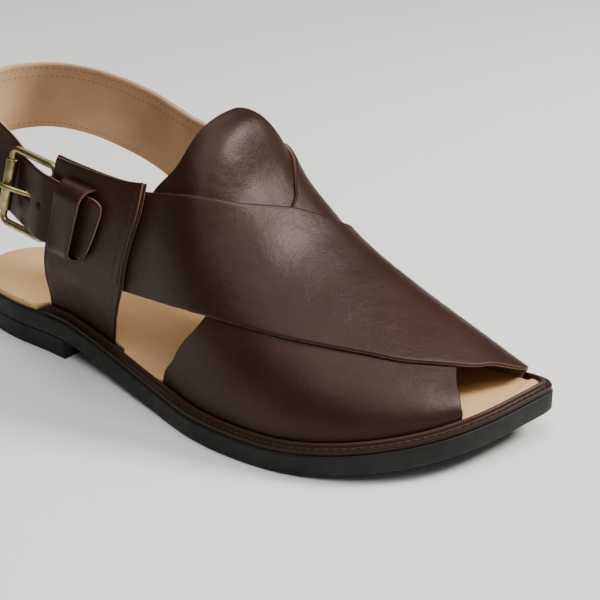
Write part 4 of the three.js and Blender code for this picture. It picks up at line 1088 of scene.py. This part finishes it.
def keeperObject():
    # Half its path goes up from a foot, round a corner and over the billet, and the other half is its mirror
    # image. The faces lie half a thickness to both sides of it, and the skew slides the band along the strap.
    thickness = strap["keeperLeather"]
    halfInner = buckle["billetWidth"] / 2 + 5 * gap + thickness / 2
    over = strap["billetThickness"] / 2 + strap["keeperRoom"] + thickness / 2
    corner = strap["keeperCorner"] + thickness / 2
    side = [(-halfInner, z) for z in (-strap["keeperFoot"], -strap["keeperFoot"] / 2, over - corner)]
    arc = [(-halfInner + inset, over - drop) for inset, drop in roundedEdge(corner, 12)]
    flat = [(y, over) for y in np.linspace(-halfInner + corner + 1, 0, 8)]
    left = np.array(side + arc[1:] + flat)
    path = np.vstack([left, (left * [-1, 1])[::-1][1:]])
    length = lengthAlong(path)
    fine = np.linspace(0, length[-1], 140)
    path = np.stack([np.interp(fine, length, path[:, k]) for k in (0, 1)], -1)
    tangent = unit(np.gradient(path, axis=0))
    normal = np.stack([-tangent[:, 1], tangent[:, 0]], -1)
    v = roundedPlaces(strap["keeperWidth"], thickness / 2, 1.2)
    halfShare = strap["keeperWidth"] / 2 / strapLength[-1]
    at, axis, across, out = strapAt(1 - strap["keeperRow"] / (strapCount - 1) + (2 * v - 1) * halfShare)[:4]
    full = roundness(np.minimum(v, 1 - v) * strap["keeperWidth"], thickness / 2)
    ends = roundness(np.minimum(fine, length[-1] - fine), thickness / 2)

    def face(side):
        # the path moved to one side by half the thickness, carried along the strap and skewed
        offset = side * thickness / 2 * full[None, :] * ends[:, None]
        p = path[:, None] + normal[:, None] * offset[..., None]
        skew = strap["keeperSkew"] * v[None, :, None] * p[..., :1] / halfInner
        return at[None] + across[None] * p[..., :1] + out[None] * p[..., 1:] + axis[None] * skew
    uv = np.stack(np.broadcast_arrays(fine[:, None], (v * strap["keeperWidth"])[None]), -1)
    marks = {"cut": np.tile(1 - full, (len(fine), 1))}
    return shellObject("keeper_leather", face(1), face(-1), keeperLeather, uv, marks)


keeper = keeperObject()
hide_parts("keeper")
print("keeper done")

# Floor, light and camera
studio = {"floor": (0.80, 0.795, 0.775), "floorRoughness": 0.6, "floorSpecular": 0.2, "half": 6,
          "world": (0.86, 0.87, 0.89), "worldStrength": 0.10}
floorMesh = bpy.data.meshes.new("floor")
floorCorners = [(x * studio["half"], y * studio["half"], 0) for x, y in ((-1, -1), (1, -1), (1, 1), (-1, 1))]
floorMesh.from_pydata(floorCorners, [], [(0, 1, 2, 3)])
floor = bpy.data.objects.new("floor", floorMesh)
bpy.context.scene.collection.objects.link(floor)
floorMaterial, floorTree, floorShader, _ = newMaterial("pale floor")
setSockets(floorTree, floorShader, {"Base Color": studio["floor"], "Roughness": studio["floorRoughness"],
                                    "Specular IOR Level": studio["floorSpecular"]})
floor.data.materials.append(floorMaterial)

world = bpy.data.worlds.new("studio")
bpy.context.scene.world = world
world.use_nodes = True
setSockets(world.node_tree, world.node_tree.nodes["Background"],
           {"Color": studio["world"], "Strength": studio["worldStrength"]})

lamps = {
    "overhead": {"at": (0.30, -0.22, 1.40), "size": 1.7, "power": 24.0, "colour": (1.0, 0.99, 0.97)},
    "key": {"at": (0.90, 0.74, 1.04), "size": 0.5, "power": 34.0, "colour": (1.0, 0.985, 0.96)},
    "front": {"at": (0.9, -1.0, 0.9), "size": 1.2, "power": 1.2, "colour": (0.98, 0.99, 1.0)},
}
lampAim = (0.0, 0.0, 0.05)
sun = {"at": (-0.9, 0.75, 1.5), "spread": 35.0, "power": 0.55, "colour": (1.0, 0.99, 0.97)}


def facing(at, to):
    # turn and place of a lamp or camera at one point that looks at another
    back = unit(np.array(at) - np.array(to))
    right = unit(np.cross([0, 0, 1.0], back))
    return placed(right, np.cross(back, right), back, at)


def placed(right, up, back, at):
    # matrix whose columns are the three axes and the place
    return Matrix([*np.column_stack([right, up, back, at]).tolist(), (0, 0, 0, 1)])


def lampObject(name, data, look, to):
    # a lamp at its place that faces a point
    data.energy, data.color = look["power"], look["colour"]
    lampMade = bpy.data.objects.new(name, data)
    bpy.context.scene.collection.objects.link(lampMade)
    lampMade.matrix_world = facing(look["at"], to)


for name, lamp in lamps.items():
    data = bpy.data.lights.new(name, "AREA")
    data.shape, data.size = "DISK", lamp["size"]
    lampObject(name, data, lamp, lampAim)
sunData = bpy.data.lights.new("sun", "SUN")
sunData.angle = math.radians(sun["spread"])
lampObject("sun", sunData, sun, (0.0, 0.0, 0.0))

# The camera stands before the outer side, turned and tilted as in the photograph
view = {"at": (518.08, -456.45, 304.0), "turn": 36.08, "down": 24.58, "lens": 87.78, "sensor": 36.0}
turn, down = math.radians(view["turn"]), math.radians(view["down"])
forward = np.array([-math.sin(turn) * math.cos(down), math.cos(turn) * math.cos(down), -math.sin(down)])
right = np.array([math.cos(turn), math.sin(turn), 0.0])
up = np.cross(right, forward)
cameraData = bpy.data.cameras.new("camera")
cameraData.lens, cameraData.sensor_width = view["lens"], view["sensor"]
cameraData.clip_start, cameraData.clip_end = 0.01, 50
camera = bpy.data.objects.new("camera", cameraData)
bpy.context.scene.collection.objects.link(camera)
cameraAt = (np.array(view["at"]) + heelShift) * mm
camera.matrix_world = placed(right, up, -forward, cameraAt)
bpy.context.scene.camera = camera
print("stage done")
